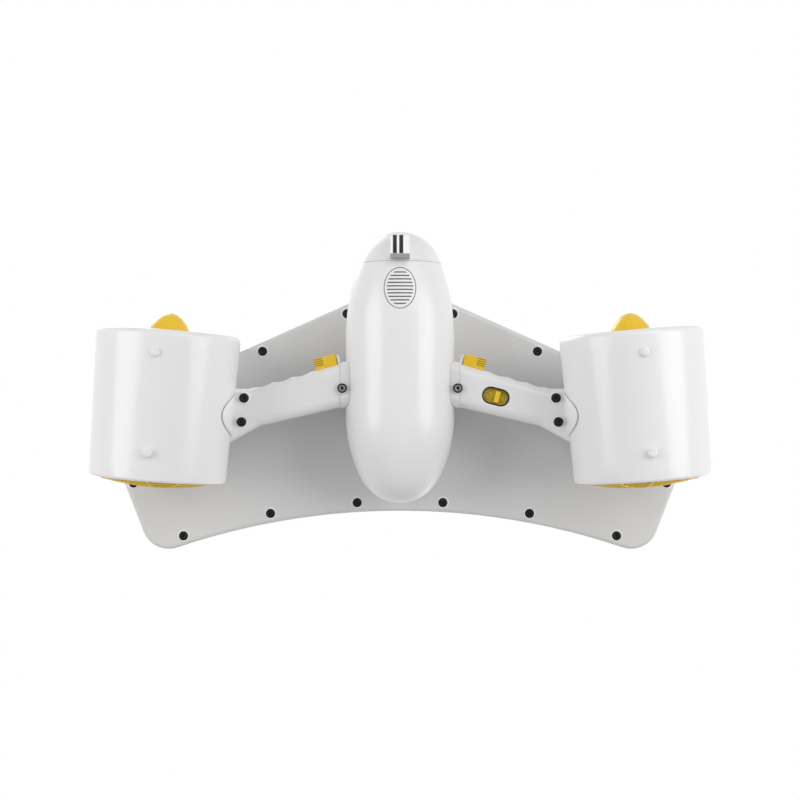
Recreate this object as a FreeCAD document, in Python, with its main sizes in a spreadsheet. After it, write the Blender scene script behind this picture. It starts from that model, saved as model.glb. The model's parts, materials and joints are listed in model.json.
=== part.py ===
"""Underwater scooter: a float board carried by a battery pod, two grip arms and two ducted thrusters.

Frame in millimetres: +Z up, nose towards -Y, +X across, origin on the ground under the middle of the
outline. Right is the +X side; the left pieces are its mirror images about the YZ plane.
"""
import FreeCAD, Part
import os
import re
import Sketcher

Vector = FreeCAD.Vector
doc = FreeCAD.newDocument("underwater_scooter")

# Driving sizes, each written once
SIZES = {
    # Pod: a body of revolution about an axis that runs fore and aft
    "nose_ahead": 173.7,
    "pod_height": 117,
    "pod_length": 291.6,
    "pod_radius": 58.5,
    "nose_tip_radius": 45,
    "nose_run": 115,
    "tail_tip_radius": 47,
    "tail_run": 95,
    "pod_wall": 3.5,
    "seam_back": 34.5,
    "seam_gap": 0.3,
    "fit_gap": 0.3,
    # Battery compartment behind the nose cap
    "sleeve_wall": 1.8,
    "spigot_length": 14,
    "seal_section": 1.6,
    "seal_setback": 7,
    "seal_gap": 0.05,
    "battery_length": 140,
    "battery_round": 3,
    "contact_gap": 0.1,
    "contact_block_depth": 6,
    "contact_pin_radius": 2,
    "contact_pin_spacing": 9,
    "bulkhead_thickness": 4,
    "controller_radius": 42,
    "controller_thickness": 1.6,
    "standoff_length": 8,
    "standoff_radius": 3,
    "standoff_spread": 28,
    "capacitor_radius": 8,
    "capacitor_length": 25,
    "capacitor_spread": 20,
    # Camera mount: three fingers under the nose, the right one wide enough for a captive nut
    "finger_width": 2.5,
    "finger_slot": 4.2,
    "nut_finger_width": 6.6,
    "finger_eye_radius": 7.5,
    "finger_eye_drop": 43,
    "finger_eye_back": 14.8,
    "finger_root_back": 33,
    "finger_root_drop": 54,
    "camera_bolt_radius": 2.6,
    "camera_thread_radius": 2.1,
    "finger_web": 4.8,
    "nut_across_flats": 8,
    "nut_thickness": 4,
    "nut_gap": 0.1,
    # Release button behind the seam
    "button_back": 64,
    "button_half_width": 16.3,
    "button_half_length": 21.3,
    "button_gap": 0.4,
    "button_seat_drop": 46,
    "button_flange": 2,
    "button_flange_thickness": 1.4,
    "button_guide_wall": 1.8,
    "rib_field_inset": 2.6,
    "rib_pitch": 3.7,
    "rib_groove": 1.3,
    "rib_depth": 0.8,
    "rib_count": 10,
    "release_spring_radius": 7,
    "release_spring_wire": 1.2,
    # Float board
    "board_base": 160,
    "board_thickness": 24,
    "board_apex": 126,
    "board_half_span": 336,
    "board_shoulder_back": 23.7,
    "board_tail_taper": 61.4,
    "board_tail_back": 181.1,
    "board_tail_middle": 130.6,
    "apex_round": 139,
    "shoulder_round": 32,
    "tail_round": 30,
    "board_top_round": 11,
    "board_bottom_round": 5,
    "board_wall": 3,
    "parting_rise": 11,
    "foam_gap": 0.3,
    "hump_half_width": 58,
    "hump_rise": 14,
    "hump_front": 99.7,
    "hump_rear": 122.3,
    # Board screws: places across the board, and how far in from its edge
    "front_screw_inner": 58.8,
    "front_screw_outer": 152.4,
    "shoulder_screw_inset": 51,
    "rear_screw_inner": 47.5,
    "rear_screw_middle": 143.6,
    "tail_screw_inset": 34.5,
    "side_screw_back": 99.3,
    "front_screw_inset": 10.5,
    "edge_screw_inset": 11,
    "screw_head_radius": 5,
    "screw_head_height": 3,
    "screw_shank_radius": 1.75,
    "screw_pilot_gap": 0.1,
    "screw_bite": 2,
    "screw_pilot_spare": 1,
    "screw_socket_radius": 2.2,
    "screw_socket_depth": 1.6,
    "boss_radius": 5,
    # Thruster: local axis runs aft from the middle of the front rim
    "duct_across": 242,
    "duct_ahead": 64.1,
    "duct_height": 77,
    "duct_toe": 4.6,
    "duct_length": 154,
    "duct_front_radius": 75,
    "duct_rear_radius": 71,
    "bore_front_radius": 67,
    "bore_radius": 64,
    "bore_cone_length": 40,
    "front_lip_round": 6.5,
    "front_mouth_round": 1.2,
    "rear_rim_round": 3.2,
    "guard_depth": 8,
    "guard_rim_wall": 2.6,
    "guard_bar_width": 2.8,
    "guard_bar_thickness": 3,
    "guard_bar_pairs": 6,
    "guard_ring_radius": 42,
    "guard_front_bulge": 2,
    "guard_rear_bulge": 9.3,
    "guard_boss_radius": 20.5,
    "dome_reach": 19.7,
    "dome_tip_radius": 12,
    "rear_boss_radius": 15,
    # Propeller and motor
    "hub_radius": 17,
    "hub_start": 16,
    "hub_length": 26,
    "hub_nose": 7,
    "blade_radius": 60,
    "blade_root_chord": 22,
    "blade_middle_chord": 34,
    "blade_tip_chord": 26,
    "blade_root_thickness": 4.4,
    "blade_middle_thickness": 3,
    "blade_tip_thickness": 1.6,
    "blade_pitch": 150,
    "blade_root_lap": 1.5,
    "blade_count": 3,
    "shaft_radius": 3,
    "shaft_fit": 0.03,
    "shaft_tip": 1,
    "propeller_nut_height": 5,
    "propeller_nut_flats": 10,
    "motor_start": 46,
    "motor_length": 64,
    "motor_radius": 22,
    "motor_wall": 2.5,
    "motor_cover_thickness": 9,
    "tail_cone_length": 24,
    "tail_cone_radius": 8,
    "mount_ring_length": 22,
    "mount_ring_wall": 2.4,
    "vane_count": 5,
    "vane_thickness": 2.6,
    "stator_inner_radius": 12,
    "stator_length": 38,
    "stator_setback": 2,
    "stator_slots": 9,
    "stator_slot_width": 3,
    "stator_slot_depth": 4,
    "rotor_air_gap": 0.6,
    "bearing_radius": 8,
    "bearing_width": 4,
    "seal_radius": 7,
    "seal_width": 3,
    "seal_lip": 1,
    # Pylon between duct and board
    "pylon_start": 9,
    "pylon_length": 104,
    "pylon_half_width": 20,
    "pylon_tail_radius": 6,
    # Rubber feet on the lowest line of each duct
    "foot_front": 24,
    "foot_rear": 125,
    "foot_radius": 4.6,
    "foot_flat_radius": 2.5,
    "foot_height": 1.8,
    "foot_root": 1.5,
    # Arms
    "arm_root_across": 60.4,
    "arm_root_ahead": 9,
    "arm_height": 110,
    "arm_sweep": 14.3,
    "arm_length": 134,
    "arm_neck": 98,
    "arm_root_half_width": 23,
    "arm_neck_half_width": 20.6,
    "arm_end_half_width": 30,
    "arm_half_thickness": 17,
    "arm_corner_round": 11,
    "arm_wall": 3,
    "arm_front_wall": 5.5,
    "arm_seam": 63.3,
    "arm_lap": 12,
    "collar_length": 30,
    "collar_swell": 0.8,
    "groove_radius": 26,
    "groove_depth": 1.8,
    "groove_pitch": 21,
    "groove_start": 41,
    "groove_count": 3,
    # Trigger and its switch
    "trigger_start": 0.8,
    "trigger_width": 23.4,
    "trigger_height": 18,
    "trigger_reach": 11.3,
    "trigger_gap": 0.4,
    "trigger_flange": 1.6,
    "trigger_flange_thickness": 2,
    "trigger_travel": 5,
    "trigger_rib": 1.2,
    "trigger_spring_radius": 4.5,
    "trigger_spring_solid": 4,
    "spring_wire": 1,
    "trigger_switch_depth": 8,
    # Speed switch under the right arm
    "speed_slot_along": 43.1,
    "speed_slot_across": 2,
    "speed_slot_length": 27,
    "speed_slot_width": 16,
    "speed_plate_thickness": 1.8,
    "speed_travel": 5,
    "speed_ridge": 5,
    "speed_ridge_inset": 2,
    "speed_ridge_offset": 1.5,
    "speed_plate_lap": 1,
    "speed_gap": 0.3,
    # Arm screws
    "root_screw_radius": 4.4,
    "root_screw_across": 61.4,
    "root_screw_ahead": 5.3,
    "duct_screw_front_along": 105.4,
    "duct_screw_front_across": 12.3,
    "duct_screw_rear_along": 114.2,
    "duct_screw_rear_across": 11.7,
    "arm_screw_length": 9,
}

sheet = doc.addObject("Spreadsheet::Sheet", "dims")
for row, (alias, number) in enumerate(SIZES.items(), start=1):
    sheet.set(f"A{row}", alias)
    sheet.set(f"B{row}", str(number))
    sheet.setAlias(f"B{row}", alias)
doc.recompute()

ALIAS = re.compile(r"\b(" + "|".join(sorted(SIZES, key=len, reverse=True)) + r")\b")


def bound(expression):
    """Point each size named in an expression at its cell in the sheet."""
    return ALIAS.sub(r"dims.\1", str(expression))


def value(expression):
    """The number that an expression gives now."""
    return float(doc.dims.evalExpression(bound(expression)))


def bind(thing, **properties):
    """Tie properties to expressions; double underscores in a name stand for dots."""
    for name, expression in properties.items():
        thing.setExpression(name.replace("__", "."), bound(expression))
    return thing


def place(thing, across="0", along="0", up="0", turn=None, axis=Vector(0, 0, 1)):
    """Place an object by expressions, turned about one axis."""
    if turn is not None:
        thing.Placement = FreeCAD.Placement(Vector(), FreeCAD.Rotation(axis, value(turn)))
        bind(thing, Placement__Rotation__Angle=turn)
    return bind(thing, Placement__Base__x=across, Placement__Base__y=along, Placement__Base__z=up)


# Sketches and the features made from them
def arc_between(start, end, radius):
    """Arc from start to end: a positive radius turns anticlockwise, a negative one clockwise."""
    chord = end - start
    rise = max(radius * radius - chord.Length ** 2 / 4, 0) ** 0.5
    side = Vector(-chord.y, chord.x, 0).normalize() * (rise if radius > 0 else -rise)
    centre = (start + end) * 0.5 + side
    first, last = (start, end) if radius > 0 else (end, start)
    angles = [Vector(1, 0, 0).getAngle(point - centre) * (1 if point.y >= centre.y else -1)
              for point in (first, last)]
    circle = Part.Circle(centre, Vector(0, 0, 1), abs(radius))
    return Part.ArcOfCircle(circle, angles[0], angles[1])


def draw_outline(sketch, corners):
    """Draw one closed outline of (across, up) or (across, up, radius) corners; each is held by its
    expressions, and the radius rounds the stretch that leaves the corner."""
    points = [Vector(value(corner[0]), value(corner[1]), 0) for corner in corners]
    first = sketch.GeometryCount
    starts, ends = [], []
    for index, corner in enumerate(corners):
        point, following = points[index], points[(index + 1) % len(points)]
        if len(corner) == 3:
            radius = value(corner[2])
            sketch.addGeometry(arc_between(point, following, radius), False)
            starts.append(1 if radius > 0 else 2)
            ends.append(2 if radius > 0 else 1)
            number = sketch.addConstraint(Sketcher.Constraint("Radius", first + index, abs(radius)))
            sign = "" if radius > 0 else "-1 * "
            sketch.setExpression(f"Constraints[{number}]", f"{sign}({bound(corner[2])})")
        else:
            sketch.addGeometry(Part.LineSegment(point, following), False)
            starts.append(1)
            ends.append(2)
    for index, corner in enumerate(corners):
        following = (index + 1) % len(corners)
        sketch.addConstraint(Sketcher.Constraint("Coincident", first + index, ends[index],
                                                 first + following, starts[following]))
        for kind, expression, number in (("DistanceX", corner[0], points[index].x),
                                         ("DistanceY", corner[1], points[index].y)):
            held = sketch.addConstraint(
                Sketcher.Constraint(kind, -1, 1, first + index, starts[index], number))
            sketch.setExpression(f"Constraints[{held}]", bound(expression))


def draw_circle(sketch, across, up, radius):
    """Draw one circle held by expressions."""
    centre = Vector(value(across), value(up), 0)
    index = sketch.addGeometry(Part.Circle(centre, Vector(0, 0, 1), value(radius)), False)
    for kind, expression in (("DistanceX", across), ("DistanceY", up)):
        held = sketch.addConstraint(
            Sketcher.Constraint(kind, -1, 1, index, 3, value(expression)))
        sketch.setExpression(f"Constraints[{held}]", bound(expression))
    held = sketch.addConstraint(Sketcher.Constraint("Radius", index, value(radius)))
    sketch.setExpression(f"Constraints[{held}]", bound(radius))


def new_sketch(body, name, plane, outlines=(), circles=(), lift="0", turn=None):
    """Sketch on one of the body's own planes (XY, XZ or YZ), lifted off it and turned in it."""
    sketch = body.newObject("Sketcher::SketchObject", name)
    datum = next(item for item in body.Origin.OriginFeatures if item.Role == f"{plane}_Plane")
    sketch.AttachmentSupport = [(datum, "")]
    sketch.MapMode = "FlatFace"
    if turn is not None:
        sketch.AttachmentOffset = FreeCAD.Placement(
            Vector(), FreeCAD.Rotation(Vector(0, 0, 1), value(turn)))
        bind(sketch, AttachmentOffset__Rotation__Angle=turn)
    bind(sketch, AttachmentOffset__Base__z=lift)
    for outline in outlines:
        draw_outline(sketch, outline)
    for circle in circles:
        draw_circle(sketch, *circle)
    return sketch


def new_body(name):
    return doc.addObject("PartDesign::Body", name)


def extrude(body, kind, sketch, length, both_ways=False, reverse=False):
    """Pad or pocket a sketch."""
    feature = body.newObject(f"PartDesign::{kind}", f"{sketch.Name}_{kind.lower()}")
    feature.Profile = sketch
    feature.Type = "Length"
    feature.SideType = "Symmetric" if both_ways else "One side"
    feature.Reversed = reverse
    bind(feature, Length=length)
    doc.recompute()
    return feature


def turned(body, kind, sketch, axis="H_Axis"):
    """Revolve or groove a sketch a full turn about one of its own axes."""
    feature = body.newObject(f"PartDesign::{kind}", f"{sketch.Name}_{kind.lower()}")
    feature.Profile = sketch
    feature.ReferenceAxis = (sketch, [axis])
    feature.Angle = 360
    doc.recompute()
    return feature


def repeated(body, feature, sketch, count, axis="H_Axis", sweep="360"):
    """Copy a feature round an axis of its sketch."""
    pattern = body.newObject("PartDesign::PolarPattern", f"{feature.Name}_pattern")
    pattern.Originals = [feature]
    pattern.Axis = (sketch, [axis])
    bind(pattern, Angle=sweep, Occurrences=count)
    body.Tip = pattern
    doc.recompute()
    return pattern


def rounded(body, feature, radius, chosen):
    """Fillet the edges of a feature that a test picks."""
    fillet = body.newObject("PartDesign::Fillet", f"{feature.Name}_fillet")
    names = [f"Edge{number}" for number, edge in enumerate(feature.Shape.Edges, start=1) if chosen(edge)]
    fillet.Base = (feature, names)
    bind(fillet, Radius=radius)
    doc.recompute()
    return fillet


# Solids joined and cut outside a body
def primitive(kind, name, **properties):
    return bind(doc.addObject(f"Part::{kind}", name), **properties)


def box(name, low, high):
    """Box between two corners, each three expressions."""
    spans = [f"({end}) - ({start})" for start, end in zip(low, high)]
    solid = primitive("Box", name, Length=spans[0], Width=spans[1], Height=spans[2])
    return place(solid, low[0], low[1], low[2])


def cut(name, base, *tools):
    """Base less the tools."""
    tool = tools[0] if len(tools) == 1 else fuse(f"{name}_tools", *tools)
    result = doc.addObject("Part::Cut", name)
    result.Base = base
    result.Tool = tool
    return result


def fuse(name, *pieces):
    result = doc.addObject("Part::MultiFuse", name)
    result.Shapes = list(pieces)
    return result


def common(name, *pieces):
    result = doc.addObject("Part::MultiCommon", name)
    result.Shapes = list(pieces)
    return result


def group(name, *pieces):
    """Separate solids kept together under one name."""
    result = doc.addObject("Part::Compound", name)
    result.Links = list(pieces)
    return result


def mirrored(name, piece):
    result = doc.addObject("Part::Mirroring", name)
    result.Source = piece
    result.Normal = Vector(1, 0, 0)
    return result


finished = []


def keep(name, piece):
    """Name a sub-part, which names its file."""
    piece.Label = name
    finished.append(piece)
    return piece


def keep_pair(name, piece):
    """Keep a right-hand sub-part and its left-hand mirror image."""
    keep(f"right_{name}", piece)
    keep(f"left_{name}", mirrored(f"left_{name}", piece))


# Bullet-shaped ends: a tip arc and a flank arc that run into each other and into a straight side
def flank_radius(radius, run, tip):
    """Radius of the flank that joins a tip arc to a side, a given run behind the tip."""
    return f"((({run} - {tip})^2 + {radius}^2 - {tip}^2) / (2 * ({radius} - {tip})))"


def flank_joint(radius, run, tip, grow="0"):
    """Place where tip arc and flank arc meet: back from the tip, and out from the axis."""
    flank = flank_radius(radius, run, tip)
    back = f"({tip} - ({tip} + {grow}) * ({run} - {tip}) / ({flank} - {tip}))"
    out = f"(({tip} + {grow}) * ({flank} - {radius}) / ({flank} - {tip}))"
    return back, out


NOSE_FLANK = flank_radius("pod_radius", "nose_run", "nose_tip_radius")
TAIL_FLANK = flank_radius("pod_radius", "tail_run", "tail_tip_radius")


def pod_outline(grow="0"):
    """Half outline of the pod, along its axis from the nose tip, grown outward."""
    nose_back, nose_out = flank_joint("pod_radius", "nose_run", "nose_tip_radius", grow)
    tail_back, tail_out = flank_joint("pod_radius", "tail_run", "tail_tip_radius", grow)
    return [
        (f"-({grow})", "0", f"-(nose_tip_radius + {grow})"),
        (nose_back, nose_out, f"-({NOSE_FLANK} + {grow})"),
        ("nose_run", f"pod_radius + {grow}"),
        ("pod_length - tail_run", f"pod_radius + {grow}", f"-({TAIL_FLANK} + {grow})"),
        (f"pod_length - {tail_back}", tail_out, f"-(tail_tip_radius + {grow})"),
        (f"pod_length + {grow}", "0"),
    ]


def rectangle(low_x, low_y, high_x, high_y):
    return [(low_x, low_y), (high_x, low_y), (high_x, high_y), (low_x, high_y)]


def at_pod(piece):
    """Place a piece drawn along the pod's axis from the nose tip."""
    return place(piece, "0", "-nose_ahead", "pod_height")


def pod_solid(name, grow="0"):
    body = new_body(name)
    sketch = new_sketch(body, f"{name}_outline", "YZ", [pod_outline(grow)])
    turned(body, "Revolution", sketch)
    return body


SLEEVE_RADIUS = (f"(pod_radius - {NOSE_FLANK} + sqrt(({NOSE_FLANK} - pod_wall)^2"
                 " - (nose_run - seam_back)^2) - fit_gap)")
SLEEVE_BORE = f"({SLEEVE_RADIUS} - sleeve_wall)"
SPIGOT_RADIUS = f"({SLEEVE_BORE} - fit_gap)"
SPIGOT_END = "(seam_back + spigot_length)"
BATTERY_END = f"({SPIGOT_END} + battery_length)"
BULKHEAD = f"({BATTERY_END} + contact_gap + contact_block_depth)"


def oval(name, grow, start, length):
    """Upright prism of the release button's oval, from a height below the pod's axis."""
    ellipse = primitive("Ellipse", f"{name}_ellipse", MajorRadius=f"button_half_length + {grow}",
                        MinorRadius=f"button_half_width + {grow}")
    place(ellipse, "0", "button_back", start, "90")
    prism = doc.addObject("Part::Extrusion", name)
    prism.Base = ellipse
    prism.DirMode = "Custom"
    prism.Dir = Vector(0, 0, 1)
    prism.Solid = True
    return bind(prism, LengthFwd=length)


def hull_shell():
    shell = pod_solid("hull_body")
    cavity = new_sketch(shell, "hull_cavity", "YZ", [pod_outline("(-1 * pod_wall)")])
    turned(shell, "Groove", cavity)
    front = new_sketch(shell, "hull_front", "YZ",
                       [rectangle("-pod_radius", "0", "seam_back + seam_gap", "2 * pod_radius")])
    turned(shell, "Groove", front)
    guide = common("hull_guide", oval("hull_guide_oval", "(button_gap + button_guide_wall)", "-pod_radius",
                                      "pod_radius - button_seat_drop - button_gap"),
                   pod_solid("hull_guide_limit", "(-0.5 * pod_wall)"))
    hole = oval("hull_button_hole", "button_gap", "-2 * pod_radius", "1.5 * pod_radius")
    keep("hull_shell", at_pod(cut("hull", fuse("hull_with_guide", shell, guide), hole)))


def nose_cap():
    cap = pod_solid("nose_cap_body")
    rear = new_sketch(cap, "cap_rear", "YZ",
                      [rectangle("seam_back", "0", "2 * pod_length", "2 * pod_radius")])
    turned(cap, "Groove", rear)
    spigot = new_sketch(cap, "cap_spigot", "YZ",
                        [rectangle("seam_back - 2 * pod_wall", "0", SPIGOT_END, SPIGOT_RADIUS)])
    turned(cap, "Revolution", spigot)
    groove = new_sketch(cap, "cap_seal_groove", "YZ",
                        [rectangle("seam_back + seal_setback - seal_section",
                                   f"{SPIGOT_RADIUS} - 2 * seal_section",
                                   "seam_back + seal_setback + seal_section", "2 * pod_radius")])
    turned(cap, "Groove", groove)
    keep("nose_cap", at_pod(cap))

    seal = primitive("Torus", "cap_seal", Radius2="seal_section",
                     Radius1=f"{SLEEVE_BORE} - seal_gap - seal_section")
    place(seal, "0", "-nose_ahead + seam_back + seal_setback", "pod_height", "90", Vector(1, 0, 0))
    keep("nose_cap_seal", seal)


def camera_mount():
    block = new_body("finger_block")
    side = new_sketch(block, "finger_side", "YZ", [[
        ("finger_eye_back", "-finger_eye_drop - finger_eye_radius"),
        ("finger_root_back", "-finger_root_drop"),
        ("finger_root_back", "-finger_eye_drop + finger_eye_radius"),
        ("finger_eye_back", "-finger_eye_drop + finger_eye_radius", "finger_eye_radius"),
        ("finger_eye_back - finger_eye_radius", "-finger_eye_drop", "finger_eye_radius"),
    ]])
    width = "(2 * finger_width + 2 * finger_slot + nut_finger_width)"
    extrude(block, "Pad", side, width, both_ways=True)
    for index in (0, 1):
        low = f"(-{width} / 2 + {index + 1} * finger_width + {index} * finger_slot)"
        slot = new_sketch(block, f"finger_slot_{index}", "XY",
                          [rectangle(low, "-finger_eye_radius", f"{low} + finger_slot",
                                     "finger_root_back - finger_web")],
                          lift="-2 * pod_radius")
        extrude(block, "Pocket", slot, "2 * pod_radius", reverse=True)
    bolt = new_sketch(block, "camera_bolt_hole", "YZ",
                      circles=[("finger_eye_back", "-finger_eye_drop", "camera_bolt_radius")])
    extrude(block, "Pocket", bolt, "2 * pod_radius", both_ways=True)

    def hexagon(name, flats, low, high):
        nut = primitive("Prism", name, Circumradius=f"({flats}) / sqrt(3)", Height=f"({high}) - ({low})")
        nut.Polygon = 6
        return place(nut, low, "finger_eye_back", "-finger_eye_drop", "90", Vector(0, 1, 0))

    face = f"({width} / 2)"
    pocket = hexagon("nut_pocket", "nut_across_flats + 2 * nut_gap", f"{face} - nut_thickness",
                     f"{face} + nut_thickness")
    nut = hexagon("nut_hexagon", "nut_across_flats", f"{face} - nut_thickness", face)
    thread = primitive("Cylinder", "nut_thread", Radius="camera_thread_radius",
                       Height="3 * nut_thickness")
    place(thread, f"{face} - 2 * nut_thickness", "finger_eye_back", "-finger_eye_drop", "90",
          Vector(0, 1, 0))
    keep("camera_mount", at_pod(cut("camera_fingers", block, pocket,
                                    pod_solid("finger_seat", "0.5 * seal_gap"))))
    keep("camera_mount_nut", at_pod(cut("camera_nut", nut, thread)))


def battery_compartment():
    sleeve = new_body("sleeve_body")
    outline = new_sketch(sleeve, "sleeve_outline", "YZ", [[
        ("seam_back + seam_gap", SLEEVE_BORE),
        ("seam_back + seam_gap", SLEEVE_RADIUS),
        (BULKHEAD, SLEEVE_RADIUS),
        (BULKHEAD, "pod_radius - pod_wall - fit_gap"),
        (f"{BULKHEAD} + bulkhead_thickness", "pod_radius - pod_wall - fit_gap"),
        (f"{BULKHEAD} + bulkhead_thickness", "0"),
        (BULKHEAD, "0"),
        (BULKHEAD, SLEEVE_BORE),
    ]])
    turned(sleeve, "Revolution", outline)
    keep("battery_sleeve", at_pod(sleeve))

    pack = new_body("battery_body")
    radius = f"({SLEEVE_BORE} - 2 * fit_gap)"
    can = new_sketch(pack, "battery_outline", "YZ", [[
        (SPIGOT_END, "0"),
        (SPIGOT_END, f"{radius} - battery_round"),
        (f"{SPIGOT_END} + battery_round", radius),
        (f"{BATTERY_END} - battery_round", radius),
        (BATTERY_END, f"{radius} - battery_round"),
        (BATTERY_END, "0"),
    ]])
    turned(pack, "Revolution", can)
    keep("battery_pack", at_pod(pack))

    block = new_body("contact_body")
    face = new_sketch(block, "contact_face", "XZ",
                      [rectangle("-2 * contact_pin_spacing", "-contact_pin_spacing",
                                 "2 * contact_pin_spacing", "contact_pin_spacing")],
                      lift=f"-1 * {BULKHEAD}")
    extrude(block, "Pad", face, "0.5 * contact_block_depth")
    pins = new_sketch(block, "contact_pins", "XZ",
                      circles=[(f"{step} * contact_pin_spacing", "0", "contact_pin_radius")
                               for step in (-1, 0, 1)],
                      lift=f"-1 * {BULKHEAD}")
    extrude(block, "Pad", pins, "contact_block_depth")
    keep("contact_block", at_pod(block))


def motor_controller():
    start = f"({BULKHEAD} + bulkhead_thickness)"
    card = new_body("controller_body")
    posts = new_sketch(card, "controller_card", "XZ", circles=[("0", "0", "controller_radius")],
                       lift=f"-1 * ({start} + standoff_length + controller_thickness)")
    extrude(card, "Pad", posts, "controller_thickness")
    corners = [(f"{side} * standoff_spread", f"{rise} * standoff_spread", "standoff_radius")
               for side in (-1, 1) for rise in (-1, 1)]
    posts = new_sketch(card, "controller_posts", "XZ", circles=corners,
                       lift=f"-1 * ({start} + standoff_length)")
    extrude(card, "Pad", posts, "standoff_length")
    cans = new_sketch(card, "controller_capacitors", "XZ",
                      circles=[(f"{step} * capacitor_spread", "0", "capacitor_radius")
                               for step in (-1, 0, 1)],
                      lift=f"-1 * ({start} + standoff_length + controller_thickness)")
    extrude(card, "Pad", cans, "capacitor_length", reverse=True)
    keep("motor_controller", at_pod(card))


def release_button():
    flange_drop = "(button_seat_drop - button_flange_thickness)"
    plug = common("button_plug", oval("button_oval", "0", "-2 * pod_radius",
                                      "2 * pod_radius - button_seat_drop"),
                  pod_solid("button_face"))
    flange = common("button_flange", oval("button_flange_oval", "button_flange", "-button_seat_drop",
                                          "button_flange_thickness"),
                    pod_solid("button_flange_limit", "(-1 * (pod_wall + button_gap))"))
    bars = [box(f"rib_bar_{index}",
                ("-2 * button_half_width",
                 f"button_back + ({index} - (rib_count - 1) / 2) * rib_pitch - rib_groove / 2",
                 "-2 * pod_radius"),
                ("2 * button_half_width",
                 f"button_back + ({index} - (rib_count - 1) / 2) * rib_pitch + rib_groove / 2",
                 "0"))
            for index in range(round(value("rib_count")))]
    field = common("rib_field", fuse("rib_bars", *bars),
                   oval("rib_oval", "(-1 * rib_field_inset)", "-2 * pod_radius", "2 * pod_radius"))
    grooves = cut("rib_grooves", field, pod_solid("rib_floor", "(-1 * rib_depth)"))
    button = cut("button", fuse("button_solid", plug, flange), grooves)
    keep("cap_release_button", at_pod(button))

    spring = new_body("release_spring_body")
    ring = new_sketch(spring, "release_spring_ring", "XY",
                      circles=[("0", "button_back", "release_spring_radius"),
                               ("0", "button_back", "release_spring_radius - release_spring_wire")],
                      lift=f"-1 * {flange_drop}")
    extrude(spring, "Pad", ring, f"{flange_drop} - {SLEEVE_RADIUS} - 2 * fit_gap")
    keep("release_spring", at_pod(spring))


# Board outline seen from above; its corners are rounded after the pad
TAIL_HALF_SPAN = "(board_half_span - board_tail_taper)"
REAR_ARC = (f"(({TAIL_HALF_SPAN}^2 + (board_tail_back - board_tail_middle)^2)"
            " / (2 * (board_tail_back - board_tail_middle)))")
LEAD_SLOPE = "((board_apex + board_shoulder_back) / board_half_span)"


def board_outline():
    return [
        ("0", "-board_apex"),
        ("board_half_span", "board_shoulder_back"),
        (TAIL_HALF_SPAN, "board_tail_back", f"-{REAR_ARC}"),
        (f"-1 * {TAIL_HALF_SPAN}", "board_tail_back"),
        ("-board_half_span", "board_shoulder_back"),
    ]


def board_solid():
    """The whole board with its rolled edges, before it is split and hollowed."""
    board = new_body("board_body")
    sketch = new_sketch(board, "board_plan", "XY", [board_outline()], lift="board_base")
    solid = extrude(board, "Pad", sketch, "board_thickness")

    def upright(edge):
        return abs(edge.BoundBox.ZLength - value("board_thickness")) < 0.01

    def at_apex(edge):
        return upright(edge) and abs(edge.CenterOfMass.x) < 1

    def at_shoulder(edge):
        return upright(edge) and abs(abs(edge.CenterOfMass.x) - value("board_half_span")) < 1

    def at_tail(edge):
        return upright(edge) and abs(abs(edge.CenterOfMass.x) - value(TAIL_HALF_SPAN)) < 1

    def at_top(edge):
        box = edge.BoundBox
        return box.ZLength < 0.01 and abs(box.ZMax - value("board_base + board_thickness")) < 0.01

    def at_bottom(edge):
        box = edge.BoundBox
        return box.ZLength < 0.01 and abs(box.ZMax - value("board_base")) < 0.01

    solid = rounded(board, solid, "apex_round", at_apex)
    solid = rounded(board, solid, "shoulder_round", at_shoulder)
    solid = rounded(board, solid, "tail_round", at_tail)
    solid = rounded(board, solid, "board_top_round", at_top)
    rounded(board, solid, "board_bottom_round", at_bottom)
    return board


def hollowed(name, solid, inset):
    """The inside of a solid, a given depth under its skin."""
    inside = doc.addObject("Part::Offset", name)
    inside.Source = solid
    inside.Join = "Arc"
    return bind(inside, Value=f"-1 * ({inset})")


BOARD_TOP = "(board_base + board_thickness)"
PARTING = "(board_base + parting_rise)"
BOARD_SCREW_LENGTH = "(parting_rise + screw_bite)"


def hump_solid(name, inset, floor):
    """Blister over the pod: an arched profile turned about an axis far below the board."""
    body = new_body(name)
    axis_radius = "((hump_half_width^2 + hump_rise^2) / (2 * hump_rise))"
    half_length = "((hump_front + hump_rear) / 2)"
    arch = f"((({half_length})^2 + hump_rise^2) / (2 * hump_rise))"
    outline = [
        ("-hump_front", f"{axis_radius} - hump_rise"),
        ("-hump_front", f"{axis_radius} - 2 * hump_rise"),
        ("hump_rear", f"{axis_radius} - 2 * hump_rise"),
        ("hump_rear", f"{axis_radius} - hump_rise", f"{arch}"),
    ]
    sketch = new_sketch(body, f"{name}_arch", "YZ", [outline])
    turned(body, "Revolution", sketch)
    place(body, "0", "0", f"{BOARD_TOP} + hump_rise - {axis_radius} - {inset}")
    span = "2 * board_half_span"
    slab = box(f"{name}_slab", (f"-{span}", f"-{span}", floor), (span, span, f"2 * {BOARD_TOP}"))
    return common(f"{name}_cap", body, slab)


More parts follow.
